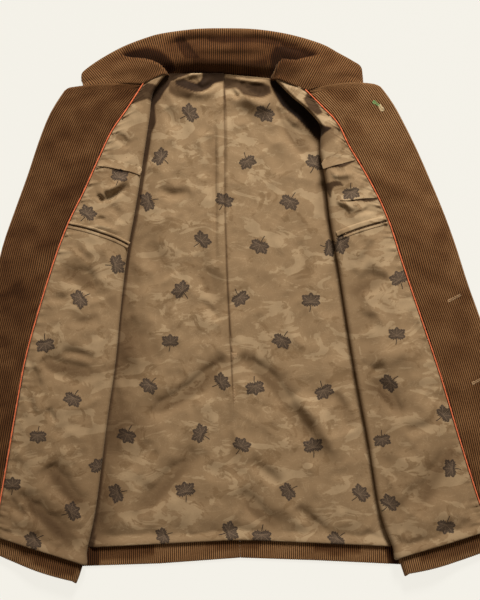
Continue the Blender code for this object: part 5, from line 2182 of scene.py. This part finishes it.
    def make_lining(self, finishes: Finishes, right_front: FrontShape, left_front: FrontShape) -> None:
        """The back lining in one piece, with its centre pleat, folds and rolled hem.

        Args:
            finishes: The jacket's finishes.
            right_front: The right front, whose fold it runs under.
            left_front: The left front.
        """
        rows = np.linspace(-self.over_neck / 2, HEM_LINE, self.lining_rows)
        rows = np.concatenate(((-self.over_neck,), rows))
        halves = (back_lines(BACK_RIGHT, rows, 10), back_lines(BACK_LEFT, rows, 10))
        nose = 2 + right_front.under_steps + right_front.fold_steps // 2
        fold_rows = np.linspace(0, LAST_ROW, 80)
        folds = (right_front.surface(fold_rows)[:, nose, :2], left_front.surface(fold_rows)[:, nose, :2])
        lines = []
        edges = []
        for right, left in zip(*halves):
            edge_x, depth, height = (downwards(right[-1, 1], PLEAT, column) for column in (1, 2, 3))
            edges.append((right[-1, 1], edge_x, height))
            section = self.pleat_section(edge_x, depth, height)
            lines.append(self.lining_row((right, left), folds, section, depth))
        surface = np.array(lines)
        smooth = surface.copy()
        surface[..., 2] += BACK_FACE + GAP + LINING
        hidden = len(self.under_front)
        shown = surface[:, hidden:-hidden]
        rim = np.concatenate((shown[0, ::4, :2], shown[::6, -1, :2], shown[-1, ::-4, :2], shown[::-6, 0, :2]))
        held = np.minimum(np.linalg.norm(surface - shown[:, :1], axis=-1),
                          np.linalg.norm(surface - shown[:, -1:], axis=-1))
        held[:, :hidden] = 0.0
        held[:, -hidden:] = 0.0
        slack = lining_slack(surface, BACK_FOLDS, BACK_CREASES, rim, held, self.lining_seed)
        from_neck = np.abs(surface[..., 1] - surface[:1, :, 1])
        slack = np.maximum(slack, self.neck_lift * np.exp(-from_neck / self.neck_run))
        slack = np.maximum(slack, hem_lift(np.abs(surface[..., 1] - surface[-1:, :, 1])))
        surface[..., 2] += slack * ease(held / self.edge_run)
        stand = outward(surface, 1.0)
        first = hidden + self.side_steps + self.pleat_above
        folded = slice(first, first + 2 * self.pleat_turn + 1 + self.pleat_between)
        inside = stand[:, folded] * np.sign(stand[:, hidden:hidden + 1, 2:])
        stand = stand * np.where(stand[..., 2:] < 0, -1.0, 1.0)
        stand[:, folded] = inside
        points, stand, printed = hem_roll(surface, stand, lifted(smooth[..., :2], 0.0))
        shade = np.maximum(self.cavity(points, folds), self.pleat_shade(points, np.array(edges)))
        soft = downwards(points[..., 1], BACK_DIM) + crease_shade(points, BACK_FOLDS, BACK_CREASES)
        shade = np.maximum(shade, np.maximum(soft, darkness(points, BACK_HOLES)))
        piece = make_mesh("back_lining_cloth", Grid(points, stand, {"print": printed, "shade": shade}),
                          finishes.lining, LINING)
        leaf_values(piece, BACK_LEAVES)
        settle(piece, ("back_lining",))
        Cut.of(smooth)
        self.ground = Ground(surface[:, hidden:-hidden])

    def cavity(self, points: Array, folds: tuple[Array, Array]) -> Array:
        """Painted shade on the lining in the deep gap along each front's fold, and past it.

        Args:
            points: Places on the lining.
            folds: The fronts' fold lines in plan.

        Returns:
            The shade at each place.
        """
        shade = np.zeros(points.shape[:2])
        y = points[..., 1]
        gaps = [distance_to_line(points[..., :2], fold[::2])[0] for fold in folds]
        for gap, table in zip(gaps, (RIGHT_GAP, LEFT_GAP)):
            width = downwards(y, table)
            dark = downwards(y, table, 2) * fading(gap - width + self.gap_in, 0.0, self.gap_soft)
            shade = np.maximum(shade, dark)
            shade = np.maximum(shade, self.gap_veil * hump(gap, self.gap_veil_width * width))
        return np.maximum(shade, downwards(y, RIGHT_VEIL) * hump(gaps[0], downwards(y, RIGHT_VEIL, 2)))

    def pleat_shade(self, points: Array, edges: Array) -> Array:
        """How dark the lining is just beside the pleat's folded edge.

        Args:
            points: Places on the lining.
            edges: Rows of y, the folded edge and how far the pleat is folded.

        Returns:
            The shade at each place.
        """
        y = points[..., 1]
        beside = points[..., 0] - downwards(y, edges) - self.pleat_dark_at
        return downwards(y, edges, 2) * downwards(y, PLEAT_DARK) * hump(beside, self.pleat_dark)


# ---------------------------------------------------------------- the sleeves
@dataclass
class Sleeve:
    """A sleeve pressed flat: a tube with a fold along each side, open at head and cuff."""

    side: str
    sign: float
    table: Rows
    rows: int = 40
    steps: int = 24
    turn_steps: int = 5

    def build(self, finishes: Finishes) -> None:
        """Build the sleeve.

        Args:
            finishes: The jacket's finishes.
        """
        places = np.linspace(0, len(self.table) - 1, self.rows)
        sleeve = at_rows(SLEEVE_COLUMNS, self.table, places)
        over, under = plan_line(sleeve, "over"), plan_line(sleeve, "under")
        radius = (CORDUROY + GAP) / 2 + GAP
        across = under - over
        width = np.linalg.norm(across, axis=-1, keepdims=True)
        across = across / width
        ring = [(step / self.steps, 0.0, -1.0) for step in range(self.steps + 1)]
        for step in range(1, self.turn_steps):
            turn = math.pi * (step / self.turn_steps - 0.5)
            ring.append((1.0, math.cos(turn), math.sin(turn)))
        ring += [(step / self.steps, 0.0, 1.0) for step in range(self.steps, -1, -1)]
        for step in range(1, self.turn_steps):
            turn = math.pi * (0.5 + step / self.turn_steps)
            ring.append((0.0, math.cos(turn), math.sin(turn)))
        ring.append(ring[0])
        lines = []
        for share, past, up in ring:
            plan = over + across * (CORDUROY + radius + (width - 2 * CORDUROY - 2 * radius) * share)
            plan = plan + across * past * radius
            lines.append(lifted(plan, sleeve_bed(plan) + CORDUROY / 2 + radius * (1 + up)))
        points = np.stack(lines, axis=1)
        grid = Grid(points, outward(points, 1.0), wale_values(points, running(points, 1), 0.0))
        piece = make_mesh("sleeve_" + self.side + "_cloth", grid, finishes.corduroy, CORDUROY)
        joined = bmesh.new()
        joined.from_mesh(piece.data)
        bmesh.ops.remove_doubles(joined, verts=joined.verts, dist=JOIN)
        joined.to_mesh(piece.data)
        joined.free()
        piece.modifiers["wall"].offset = 0.0
        settle(piece, ("sleeve_" + self.side,))
        Cut.of(points)


# ---------------------------------------------------------------- the collar
@dataclass
class Collar:
    """The upper and under collar, from the neck seam and gorges to the outer edge."""

    rows: int = 34
    samples: int = 6
    under_samples: int = 4
    row_spread: float = 0.9  # rows lie closer towards the neck seam
    fold_end: float = 0.15  # share of the width over which its folds die out at the edge
    fold_dark: float = 1.8  # shade in them, against a lining's creases
    block_start: float = 0.2  # share of a ridge's line over which it comes up
    block_rise: float = 2.5  # the part on top rises over this, and falls off over the next
    block_fall: float = 40.0
    dip_width: float = 10.0  # beside it the other part dips over this width
    # painted shade where the other part dips beside a ridge: how dark, and how wide
    dip_dark: float = 0.94
    dip_dark_width: float = 14.0
    cover_rise: float = 2.0
    stand_share: Place = (0.17, 0.2)  # the stand's share of the width, which dips and has painted shade, and its soft end
    stand_dark: float = 0.64
    stand_dip: float = 3.0
    # painted shade on the middle of the collar: its share of the width, its soft end, and how dark
    middle_share: Place = (0.84, 0.12)
    middle_dark: float = 0.48
    wave: float = 0.6  # height and size of its soft unevenness, and where that starts
    wave_size: float = 26.0
    wave_in: float = 12.0
    tone_and_painted_light: float = 0.1  # how much lighter it is all over
    seed: int = 71
    nap_seed: int = 77

    @property
    def shares(self) -> Array:
        """Each row's share of the way from the neck seam to the outer edge."""
        return np.linspace(0, 1, self.rows) ** self.row_spread

    def seam_line(self, right: FrontShape, left: FrontShape) -> Array:
        """The neck seam from one notch to the other.

        Args:
            right: The right front.
            left: The left front.

        Returns:
            Its points.
        """
        top = np.array((0.0, 0.02))
        around = np.array((-(GAP + LINING + GAP), 0.0, 0.0))
        sides = []
        for shape in (right, left):
            line = shape.surface(top)[0]
            notch = shape.seam_column + 1 + round(NOTCH_SHARE * shape.facing_steps)
            nose = line[2 + shape.under_steps + shape.fold_steps // 2]
            sides.append((line[shape.flap_start:notch + 1], nose))
        neck = np.array([(x, y, BACK_FACE + GAP / 2) for x, y in BACK_NECK])
        (right_line, right_nose), (left_line, left_nose) = sides
        noses = ([right_nose - around], [left_nose + around])
        seam = np.concatenate((right_line[::-1], noses[0], neck, noses[1], left_line))
        seam[:, 1] += NECK_SEAM
        seam[len(right_line):-len(left_line), 1] -= NECK_UNDER
        return seam

    def surface(self, right: FrontShape, left: FrontShape, samples: int) -> tuple[Array, Array]:
        """The face between upper and under collar.

        Args:
            right: The right front.
            left: The left front.
            samples: Points across one rib.

        Returns:
            Stations by rows by x, y, z, and each station's distance along the collar.
        """
        seam = self.seam_line(right, left)
        table = columns(COLLAR_COLUMNS, COLLAR)

        def shape_at(xs: Array) -> dict[str, Array]:
            """The table's columns at places along the neck."""
            places = np.interp(xs, table["neck_x"], np.arange(len(COLLAR)))
            return at_rows(COLLAR_COLUMNS, COLLAR, places)

        length = running(seam)
        seam = spaced(seam, length, np.arange(0.0, length[-1], SEAM_STEP))
        even = np.stack([evened(channel, round(LEVEL_REACH / SEAM_STEP)) for channel in seam.T], axis=-1)
        outer = plan_line(shape_at(even[:, 0]), "edge")
        run = running(even[:, :2] + (outer - even[:, :2]) * EVEN_SHARE)
        count = int(run[-1] // (WALE / samples))
        spots = np.arange(count + 1) * run[-1] / count
        neck = spaced(seam, run, spots)
        level = np.interp(spots, run, even[:, 2])
        shape = shape_at(np.interp(spots, run, even[:, 0]))
        outer = plan_line(shape, "edge")
        resting = CORDUROY + GAP
        edge = np.maximum(resting + COLLAR_EDGE_UP + shape["edge_up"], resting)
        lines = []
        for share in self.shares:
            plan = neck[:, :2] + (outer - neck[:, :2]) * share
            roll = np.maximum(level, edge) * ROLL_SHARE + shape["roll_up"] * ROLL_LIFT
            start = level + (neck[:, 2] - level) * fading(share, 0.0, SEAM_SHARE)
            up = ease(share / shape["roll_at"])
            down = ease((share - shape["roll_at"]) / (1.0 - shape["roll_at"]))
            lines.append(lifted(plan, start + (roll - start) * up + (edge - roll) * down))
        return np.stack(lines, axis=1), spots

    def build(self, finishes: Finishes, right: FrontShape, left: FrontShape) -> None:
        """Build both collar pieces.

        Args:
            finishes: The jacket's finishes.
            right: The right front.
            left: The left front.
        """
        smooth, spots = self.surface(right, left, self.samples)
        self.make_piece("top_collar", smooth, spots, 1.0, finishes)
        smooth, spots = self.surface(right, left, self.under_samples)
        self.make_piece("under_collar", smooth, spots, -1.0, finishes)

    def relief(self, points: Array, shares: Array) -> tuple[Array, Array]:
        """The collar's own folds: its front parts lie over the middle, which dips to a dark stand.

        Args:
            points: Places on the collar.
            shares: How far each place is from the neck seam to the outer edge.

        Returns:
            The height that is added, and how far each place is in shade.
        """
        height = FOLD_GAIN * fold_relief(points, COLLAR_FOLDS) * ease((1.0 - shares) / self.fold_end)
        shade = self.fold_dark * crease_shade(points, COLLAR_FOLDS)
        covered = np.zeros(shade.shape)
        for line, block_side, rise, dip in COLLAR_RIDGES:
            gap, side, where = distance_to_line(points[..., :2], np.array(line, dtype=float))
            fade = ease(where / self.block_start)
            on_block = side == block_side
            block = rise * ease(gap / self.block_rise) * np.exp(-gap / self.block_fall)
            height += np.where(on_block, block, -dip * hump(gap, self.dip_width)) * fade
            dark = np.where(on_block, 0.0, self.dip_dark * hump(gap, self.dip_dark_width))
            shade = np.maximum(shade, dark * fade)
            covered = np.maximum(covered, np.where(on_block, ease(gap / self.cover_rise), 0.0))
        stand = fading(shares, *self.stand_share) * between(points[..., 0], *STAND_REACH)
        shade = np.maximum(shade, self.stand_dark * stand)
        shade = np.maximum(shade, darkness(points, COLLAR_HOLES) * (1.0 - covered))
        middle = between(points[..., 0], *MIDDLE_REACH) * fading(shares, *self.middle_share)
        return height - self.stand_dip * stand, np.maximum(shade, self.middle_dark * middle)

    def make_piece(self, name: str, smooth: Array, spots: Array, up: float, finishes: Finishes) -> None:
        """One collar piece, above or below the face between them.

        Args:
            name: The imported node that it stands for.
            smooth: The face between upper and under collar.
            spots: Each station's distance along the collar.
            up: 1 for the upper collar and -1 for the under collar.
            finishes: The jacket's finishes.
        """
        height, shade = self.relief(smooth, np.broadcast_to(self.shares, smooth.shape[:2]))
        from_edge = np.linalg.norm(smooth - smooth[:, -1:], axis=-1)
        wave = self.wave * soft_noise(smooth, self.wave_size, self.seed)
        height = height + wave * ease(from_edge / self.wave_in)
        smooth = smooth.copy()
        smooth[..., 2] += np.maximum(height, CORDUROY + GAP - smooth[..., 2])
        normal = outward(smooth, -1)
        across = np.broadcast_to(spots[:, None], smooth.shape[:2]).copy()
        edge_gap = np.linalg.norm(smooth - smooth[:, -1:], axis=-1)
        end_gap = np.minimum(spots, spots[-1] - spots)[:, None]
        sunk = turned(np.minimum(edge_gap, end_gap))
        raised = GAP / 2 + CORDUROY - RIB + RIB * rib(across) - sunk
        points = smooth + normal * (up * raised)[..., None]
        # random blotches and an even lightness, with a painted highlight along the collar's edge
        tone_and_painted_light = lightness_and_blotches(points, ((0, self.tone_and_painted_light),), self.nap_seed) + painted_rim_highlight(edge_gap, COLLAR_RIM_HIGHLIGHT)
        values = {"wale": across, "run": running(smooth, 1), "tone_and_painted_light": tone_and_painted_light, "wall": edge_wall(sunk),
                  "shade": shade if up > 0 else np.zeros(across.shape)}
        piece = make_mesh(name + "_cloth", Grid(points, normal * up, values), finishes.corduroy, GROUND)
        settle(piece, (name,))
        Cut.of(smooth)


# ---------------------------------------------------------------- pockets
MOUTH_HOLLOW = (0.96, 1.0)  # painted shade in a pocket's mouth: how dark, and how soft its edge


def ribbon(name: str, lines: list[Array], leaves: Rows, shade: Array, finishes: Finishes, thick: float,
           nodes: tuple[str, ...] = ()) -> Piece:
    """A narrow strip of lining from its lengthwise lines.

    Args:
        name: The piece's name.
        lines: The strip's lines.
        leaves: The printed leaves that run on across it.
        shade: How far each point is in shade.
        finishes: The jacket's finishes.
        thick: The strip's thickness.
        nodes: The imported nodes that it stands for.

    Returns:
        The strip.
    """
    points = np.stack(lines, axis=1)
    stand = outward(points, 1.0)
    stand *= np.sign(stand[:, 1:2, 2:].mean())
    values = {"print": lifted(points[..., :2], 0.0), "shade": shade}
    piece = make_mesh(name, Grid(points, stand, values), finishes.lining, thick)
    leaf_values(piece, leaves)
    settle(piece, nodes)
    return piece


def crossing(line: Array) -> Array:
    """Directions in plan across a line, towards the collar.

    Args:
        line: The line's points in plan.

    Returns:
        A direction at each point.
    """
    course = unit(np.gradient(line, axis=0))
    across = np.stack((-course[:, 1], course[:, 0]), axis=-1)
    return across * np.where(across[:, 1:] < 0, -1.0, 1.0)


@dataclass
class Pocket:
    """The two welts of an inner breast pocket.

    Attributes:
        side: The wearer's side.
        mouth: The mouth's line in plan.
        widths: Widths of the upper and the lower welt.
        thick: How far each of them stands off the lining.
        slit: Width of the mouth.
        cloth: Thickness of their cloth.
        rest: Room between them and the lining.
        lip_dark: Shade on the lips of the mouth.
    """

    side: str
    mouth: tuple[Place, ...]
    widths: Place = (4.0, 4.6)
    thick: Place = (1.5, 0.8)
    slit: float = 2.1
    cloth: float = 0.6
    rest: float = 0.15
    lip_dark: float = 0.85
    steps: int = 60
    rounds: int = 7

    def build(self, finishes: Finishes, ground: Ground, leaves: Rows) -> list[Piece]:
        """Build the welts on the lining.

        Args:
            finishes: The jacket's finishes.
            ground: The lining's top.
            leaves: The lining's printed leaves.

        Returns:
            The welts.
        """
        ends = np.array(self.mouth, dtype=float)
        middle = along(ends, np.linspace(0, len(ends) - 1, self.steps))
        across = crossing(middle)
        made = []
        for name, shift, width, thick in zip(("upper", "lower"), (1.0, -1.0), self.widths, self.thick):
            lines = []
            for step in range(self.rounds + 1):
                share = step / self.rounds
                plan = middle + across * (shift * (self.slit / 2 + width * share))
                bulge = math.sqrt(max(1.0 - (2.0 * share - 1.0) ** 4, 0.0))
                lines.append(lifted(plan, ground.heights(plan) + self.rest + thick * bulge))
            shade = np.tile(np.where(np.arange(self.rounds + 1) == 0, self.lip_dark, 0.0), (self.steps, 1))
            node = "welt_" + self.side + "_" + name
            made.append(ribbon(node + "_cloth", lines, leaves, shade, finishes, self.cloth, (node,)))
        return made

    def hollow(self) -> Hole:
        """The painted shade in the mouth between the welts."""
        return *MOUTH_HOLLOW, outline_of(np.array(self.mouth, dtype=float), self.slit / 2, -self.slit / 2)


def outline_of(line: Array, above: Array | float, below: Array | float) -> tuple[Place, ...]:
    """The outline of a strip along a line, between two distances across it."""
    across = crossing(line)
    return tuple(map(tuple, np.concatenate((line + across * above, (line + across * below)[::-1]))))


# Lines of a lapped seam: share of the lap's width and of its height, then places under it, and their shade.
TUCK_LAP = ((1.0, -0.8), (0.85, -0.3), (0.7, 0.0), (0.5, 0.2), (0.3, 0.5), (0.15, 0.8), (0.06, 0.95))
TUCK_UNDER = ((0.0, 1.0), (-0.55, 0.82), (-0.75, 0.5), (-0.4, 0.2))
TUCK_DARK = (0.0,) * (len(TUCK_LAP) + 1) + (0.5, 0.8, 0.9)
TUCK_HOLLOW = (0.88, 1.4)  # painted shade under a lap: how dark, and how soft its edge
TUCK_PLACES = 13  # places on the line
TUCK_ABOVE = 0.6  # how far it reaches to each side of the seam
TUCK_BELOW = 0.7


@dataclass
class Tuck:
    """A seam across a lining whose upper cloth laps over the lower.

    Attributes:
        name: The piece's name.
        line: The seam in plan.
        lift: How far the lap's edge stands off at its highest.
        width: How far the lap reaches up from the edge.
        painted_gape: How far the painted shade below the lap reaches where it is widest.
        painted_gape_at: Share of the line at which it is widest.
        painted_gape_run: Share of the line over which it narrows again.
        least: The lap's upper part stands off at least this far.
        cloth: Thickness of its cloth.
    """

    name: str
    line: tuple[Place, ...]
    lift: float = 1.5
    width: float = 17.0
    painted_gape: float = 3.0
    painted_gape_at: float = 0.5
    painted_gape_run: float = 0.2
    least: float = 0.7
    cloth: float = 0.5
    steps: int = 48

    def build(self, finishes: Finishes, ground: Ground, leaves: Rows) -> Piece:
        """Build the lap.

        Args:
            finishes: The jacket's finishes.
            ground: The lining's top.
            leaves: The lining's printed leaves.

        Returns:
            The lap.
        """
        ends = np.array(self.line, dtype=float)
        shares = np.linspace(0, 1, self.steps)
        middle = along(ends, shares * (len(ends) - 1))
        across = crossing(middle)
        end = np.sin(math.pi * np.clip(shares, 0.02, 0.98)) ** 0.5
        lift = self.lift * end * (1.0 + 0.2 * soft_noise(middle, 12.0, 17))
        reach = self.width * (0.35 + 0.65 * end)
        lines = []
        for place, share in TUCK_LAP:
            plan = middle + across * (reach * place)[:, None]
            lines.append(self.laid(plan, ground, np.maximum(lift, self.least) * share))
        for place, share in TUCK_UNDER:
            lines.append(self.laid(middle + across * place, ground, lift * share))
        shade = np.tile(np.array(TUCK_DARK), (self.steps, 1))
        return ribbon(self.name, lines, leaves, shade, finishes, self.cloth)

    @staticmethod
    def laid(plan: Array, ground: Ground, lift: Array) -> Array:
        """A line in plan, laid on the cloth and lifted off it."""
        return lifted(plan, ground.heights(plan) + 0.1 + lift)

    def hollow(self) -> Hole:
        """The painted shade under the lap.

        Returns:
            How dark it is, how soft its edge is, and its outline.
        """
        ends = np.array(self.line, dtype=float)
        shares = np.linspace(0, 1, TUCK_PLACES)
        line = along(ends, shares * (len(ends) - 1))
        below = TUCK_BELOW + self.painted_gape * hump(shares - self.painted_gape_at, self.painted_gape_run)
        return *TUCK_HOLLOW, outline_of(line, TUCK_ABOVE, -below[:, None])


# ---------------------------------------------------------------- sewing
@dataclass
class Sewing:
    """Stitches laid on the finished cloth, kept together by thread."""

    name: str
    slot: Slot
    ground: Ground
    thread: float = 0.32
    verts: list[Array] = field(default_factory=list)
    faces: list[Face] = field(default_factory=list)
    runs: list[Array] = field(default_factory=list)

    def stitch(self, start: Array, end: Array, lift: float = 0.3) -> None:
        """Add one stitch between two places in plan, arched a little over the cloth.

        Args:
            start: Where it comes up.
            end: Where it goes down.
            lift: How far its middle stands off.
        """
        shares = np.linspace(0, 1, 5)
        plan = start + (end - start) * shares[:, None]
        route = lifted(plan, self.ground.heights(plan) + lift * np.sin(math.pi * shares))
        verts, faces, run = tube_parts(route, np.full(len(shares), self.thread), 6)
        offset = sum(len(part) for part in self.verts)
        self.verts.append(verts)
        self.faces += [tuple(corner + offset for corner in face) for face in faces]
        self.runs.append(run)

    def tack(self, middle: Place, turn: float, width: float, length: float, count: int) -> None:
        """Add a bar tack: short stitches side by side.

        Args:
            middle: Its middle.
            turn: Direction of its stitches in degrees.
            width: Width over all the stitches.
            length: Length of a stitch.
            count: Number of stitches.
        """
        course = np.array((math.cos(math.radians(turn)), math.sin(math.radians(turn))))
        beside = np.array((-course[1], course[0]))
        for place in np.linspace(-width / 2, width / 2, count):
            centre = np.array(middle) + beside * place
            self.stitch(centre - course * length / 2, centre + course * length / 2)

    def buttonhole(self, start: Place, end: Place, pitch: float = 0.95,
                   reach: float = 1.9, eyelet: float = 2.2) -> None:
        """Add a keyhole buttonhole: close stitches down both sides of its slit and round its eyelet.

        Args:
            start: The eyelet's end.
            end: The other end.
            pitch: From one stitch to the next.
            reach: Length of a stitch out from the slit.
            eyelet: The eyelet's radius.
        """
        first, last = np.array(start, dtype=float), np.array(end, dtype=float)
        course = unit(last - first)
        beside = np.array((-course[1], course[0]))
        length = float(np.linalg.norm(last - first))
        for place in np.arange(eyelet * 2, length, pitch):
            centre = first + course * place
            for side in (1.0, -1.0):
                self.stitch(centre + beside * side * 0.25, centre + beside * side * reach)
        hub = first + course * eyelet
        for degrees in range(30, 331, 25):
            turn = math.radians(degrees)
            ray = course * math.cos(turn) + beside * math.sin(turn)
            self.stitch(hub + ray * eyelet * 0.4, hub + ray * (eyelet * 0.4 + reach))

    def build(self, finish: Material) -> Piece:
        """Make all the stitches one piece.

        Args:
            finish: The thread's material.

        Returns:
            The piece.
        """
        made = cord_mesh(self.name, np.concatenate(self.verts), self.faces, np.concatenate(self.runs), finish)
        settle(made)
        return made


# ---------------------------------------------------------------- the buttons
@dataclass
class Button:
    """A turned button with a raised rim, sewn under the right front."""

    node: str
    size: float = 20.0
    thick: float = 3.4
    turned_face: tuple[Place, ...] = (  # shares of its radius and half thickness, to the edge
        (0.0, 0.55), (0.62, 0.55), (0.72, 0.95), (0.86, 1.0), (0.97, 0.7), (1.0, 0.0))

    def build(self, finishes: Finishes) -> None:
        """Build the button in its node's place.

        Args:
            finishes: The jacket's finishes.
        """
        low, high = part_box(self.node)
        middle = (low + high) / 2
        reach = self.size / 2
        half = self.thick / 2
        profile = self.turned_face + tuple((x, -z) for x, z in self.turned_face[-2::-1])
        work = bmesh.new()
        ring = [work.verts.new((x * reach * MM, 0.0, z * half * MM)) for x, z in profile]
        for first, second in zip(ring, ring[1:]):
            work.edges.new((first, second))
        bmesh.ops.spin(work, geom=list(work.verts) + list(work.edges), cent=(0, 0, 0), axis=(0, 0, 1),
                       angle=2 * math.pi, steps=40, use_merge=True)
        bmesh.ops.remove_doubles(work, verts=work.verts, dist=JOIN / 10)
        bmesh.ops.recalc_face_normals(work, faces=work.faces)
        mesh = bpy.data.meshes.new(self.node + "_turned")
        work.to_mesh(mesh)
        work.free()
        mesh.shade_smooth()
        mesh.materials.append(finishes.button)
        made = placed(self.node + "_turned", mesh)
        made.location = middle
        settle(made, (self.node,))


# ---------------------------------------------------------------- the studio
@dataclass
class Studio:
    """The pale floor, the lights and the camera straight above."""

    picture_height: float = 0.924  # metres that the picture covers from top to bottom
    picture_middle: Place = (0.0022, 0.0074)
    camera_height: float = 3.0
    cloth_height: float = 0.012
    sensor: float = 36.0
    floor_size: float = 6.0

    def build(self) -> None:
        """Set up the studio."""
        self.make_floor()
        self.make_light("key", (0.6, 3.3, 2.3), 1.0, 300.0, (1.0, 0.99, 0.97))
        self.make_light("fill", (-0.8, -1.2, 3.0), 2.5, 6.0, (1.0, 0.95, 0.88))
        self.make_world()
        self.make_camera()

    def make_floor(self) -> None:
        """A flat pale floor just under the jacket."""
        half = self.floor_size / 2
        mesh = bpy.data.meshes.new("floor")
        mesh.from_pydata([(-half, -half, 0.0), (half, -half, 0.0), (half, half, 0.0), (-half, half, 0.0)], [],
                         [(0, 1, 2, 3)])
        mesh.materials.append(FloorFinish().material())
        floor = placed("floor", mesh)
        floor.location.z = -0.0005

    def make_light(self, name: str, place: Point, size: float, power: float,
                   colour: Point) -> None:
        """One square soft light that looks at the jacket.

        Args:
            name: Its name.
            place: Where it hangs, in metres.
            size: Length of its side.
            power: Its power in watts.
            colour: Its colour.
        """
        light = bpy.data.lights.new(name, "AREA")
        light.size = size
        light.energy = power
        light.color = colour
        lamp = placed(name, light)
        lamp.location = place
        lamp.rotation_mode = "QUATERNION"
        lamp.rotation_quaternion = (-Vector(place)).to_track_quat("-Z", "Y")

    def make_world(self) -> None:
        """Even light from all round."""
        world = bpy.data.worlds.new("studio")
        world.use_nodes = True
        background = world.node_tree.nodes["Background"]
        background.inputs["Color"].default_value = (1.0, 0.86, 0.70, 1.0)
        background.inputs["Strength"].default_value = 0.2
        bpy.context.scene.world = world
        bpy.context.scene.view_settings.view_transform = "Standard"

    def make_camera(self) -> None:
        """A camera straight above the jacket."""
        camera = bpy.data.cameras.new("camera")
        camera.sensor_width = self.sensor
        camera.lens = self.sensor * (self.camera_height - self.cloth_height) / self.picture_height
        holder = placed("camera", camera)
        holder.location = (*self.picture_middle, self.camera_height)
        bpy.context.scene.camera = holder


def sew(finishes: Finishes, right: Front, left: Front, back: Back) -> None:
    """Sew the buttonholes and bar tacks.

    Args:
        finishes: The jacket's finishes.
        right: The right front.
        left: The left front.
        back: The back.
    """
    facing = Ground(left.facing_top)
    holes = Sewing("buttonhole_stitches", Slot.CORDUROY, facing)
    holes.buttonhole((342, -353), (362, -343))
    holes.buttonhole((379, -480), (397, -471))
    holes.build(finishes.brown_thread)
    lapel = Sewing("lapel_buttonhole_green", Slot.CORDUROY, facing)
    lapel.buttonhole((226, -46), (236, -53))
    lapel.build(finishes.green_thread)
    bar = Sewing("lapel_buttonhole_cream", Slot.CORDUROY, facing)
    bar.buttonhole((241, -60), (235, -51), reach=2.6)
    bar.build(finishes.pale_thread)
    centre = Sewing("pleat_tack", Slot.LINING, back.ground)
    centre.tack((12.7, -437), 90.0, 7.0, 9.0, 5)
    for step in range(6):
        down = np.array((0.1, -4.6)) * step
        centre.stitch(np.array((12.2, -484.0)) + down, np.array((12.3, -487.2)) + down)
    centre.build(finishes.brown_thread)
    tab = Sewing("left_lining_tack", Slot.LINING, left.lining_ground)
    tab.tack((198, -204), 90.0, 3.6, 8.0, 3)
    tab.build(finishes.brown_thread)
    double = Sewing("right_lining_tack", Slot.LINING, right.lining_ground)
    double.tack((-192, -194), -50.0, 3.4, 8.0, 2)
    double.build(finishes.brown_thread)
    light = Sewing("right_facing_tack", Slot.CORDUROY, Ground(right.facing_top))
    light.tack((-343.7, -694.5), 75.0, 2.6, 9.0, 3)
    light.build(finishes.pale_thread)


def main() -> None:
    """Build the jacket and its studio."""
    logging.basicConfig(level=logging.INFO)
    finishes = Finishes()
    right = Front("right", 1.0, FRONT_RIGHT, SLEEVE_RIGHT, RIGHT_FOLDS, RIGHT_CREASES, RIGHT_LEAVES,
                  RIGHT_HOLES, RIGHT_FACING_PAINTED_LIGHT, RIGHT_DIM, 101)
    left = Front("left", -1.0, FRONT_LEFT, SLEEVE_LEFT, LEFT_FOLDS, LEFT_CREASES, LEFT_LEAVES, LEFT_HOLES,
                 LEFT_FACING_PAINTED_LIGHT, LEFT_DIM, 202)
    seam = Tuck("right_lining_seam", ((-197, -145), (-180, -147), (-166, -150), (-146, -154), (-132, -159)),
                painted_gape=3.6, painted_gape_at=0.52, painted_gape_run=0.16)
    mouth = ((-243, -235), (-213, -242), (-191, -249), (-169, -257), (-149, -267))
    right.build(finishes, Pocket("right", mouth), (seam,))
    mouth = ((172, -255), (194, -246), (215, -239), (247, -230))
    left.build(finishes, Pocket("left", mouth, (8.6, 4.0)),
               (Tuck("left_lining_seam_upper", ((149, -150), (165, -145), (180, -141), (198, -136)),
                     painted_gape=4.6, painted_gape_at=0.62, painted_gape_run=0.26),
                Tuck("left_lining_seam_lower", ((175, -198), (190, -198), (210, -195), (232, -194)),
                     painted_gape=4.5, painted_gape_at=0.78, painted_gape_run=0.24)))
    back = Back()
    back.build(finishes, right.shape, left.shape)
    Sleeve("right", 1.0, SLEEVE_RIGHT).build(finishes)
    Sleeve("left", -1.0, SLEEVE_LEFT).build(finishes)
    Collar().build(finishes, right.shape, left.shape)
    sew(finishes, right, left, back)
    Button("button_upper").build(finishes)
    Button("button_lower").build(finishes)
    Studio().build()


if __name__ == "__main__":
    main()
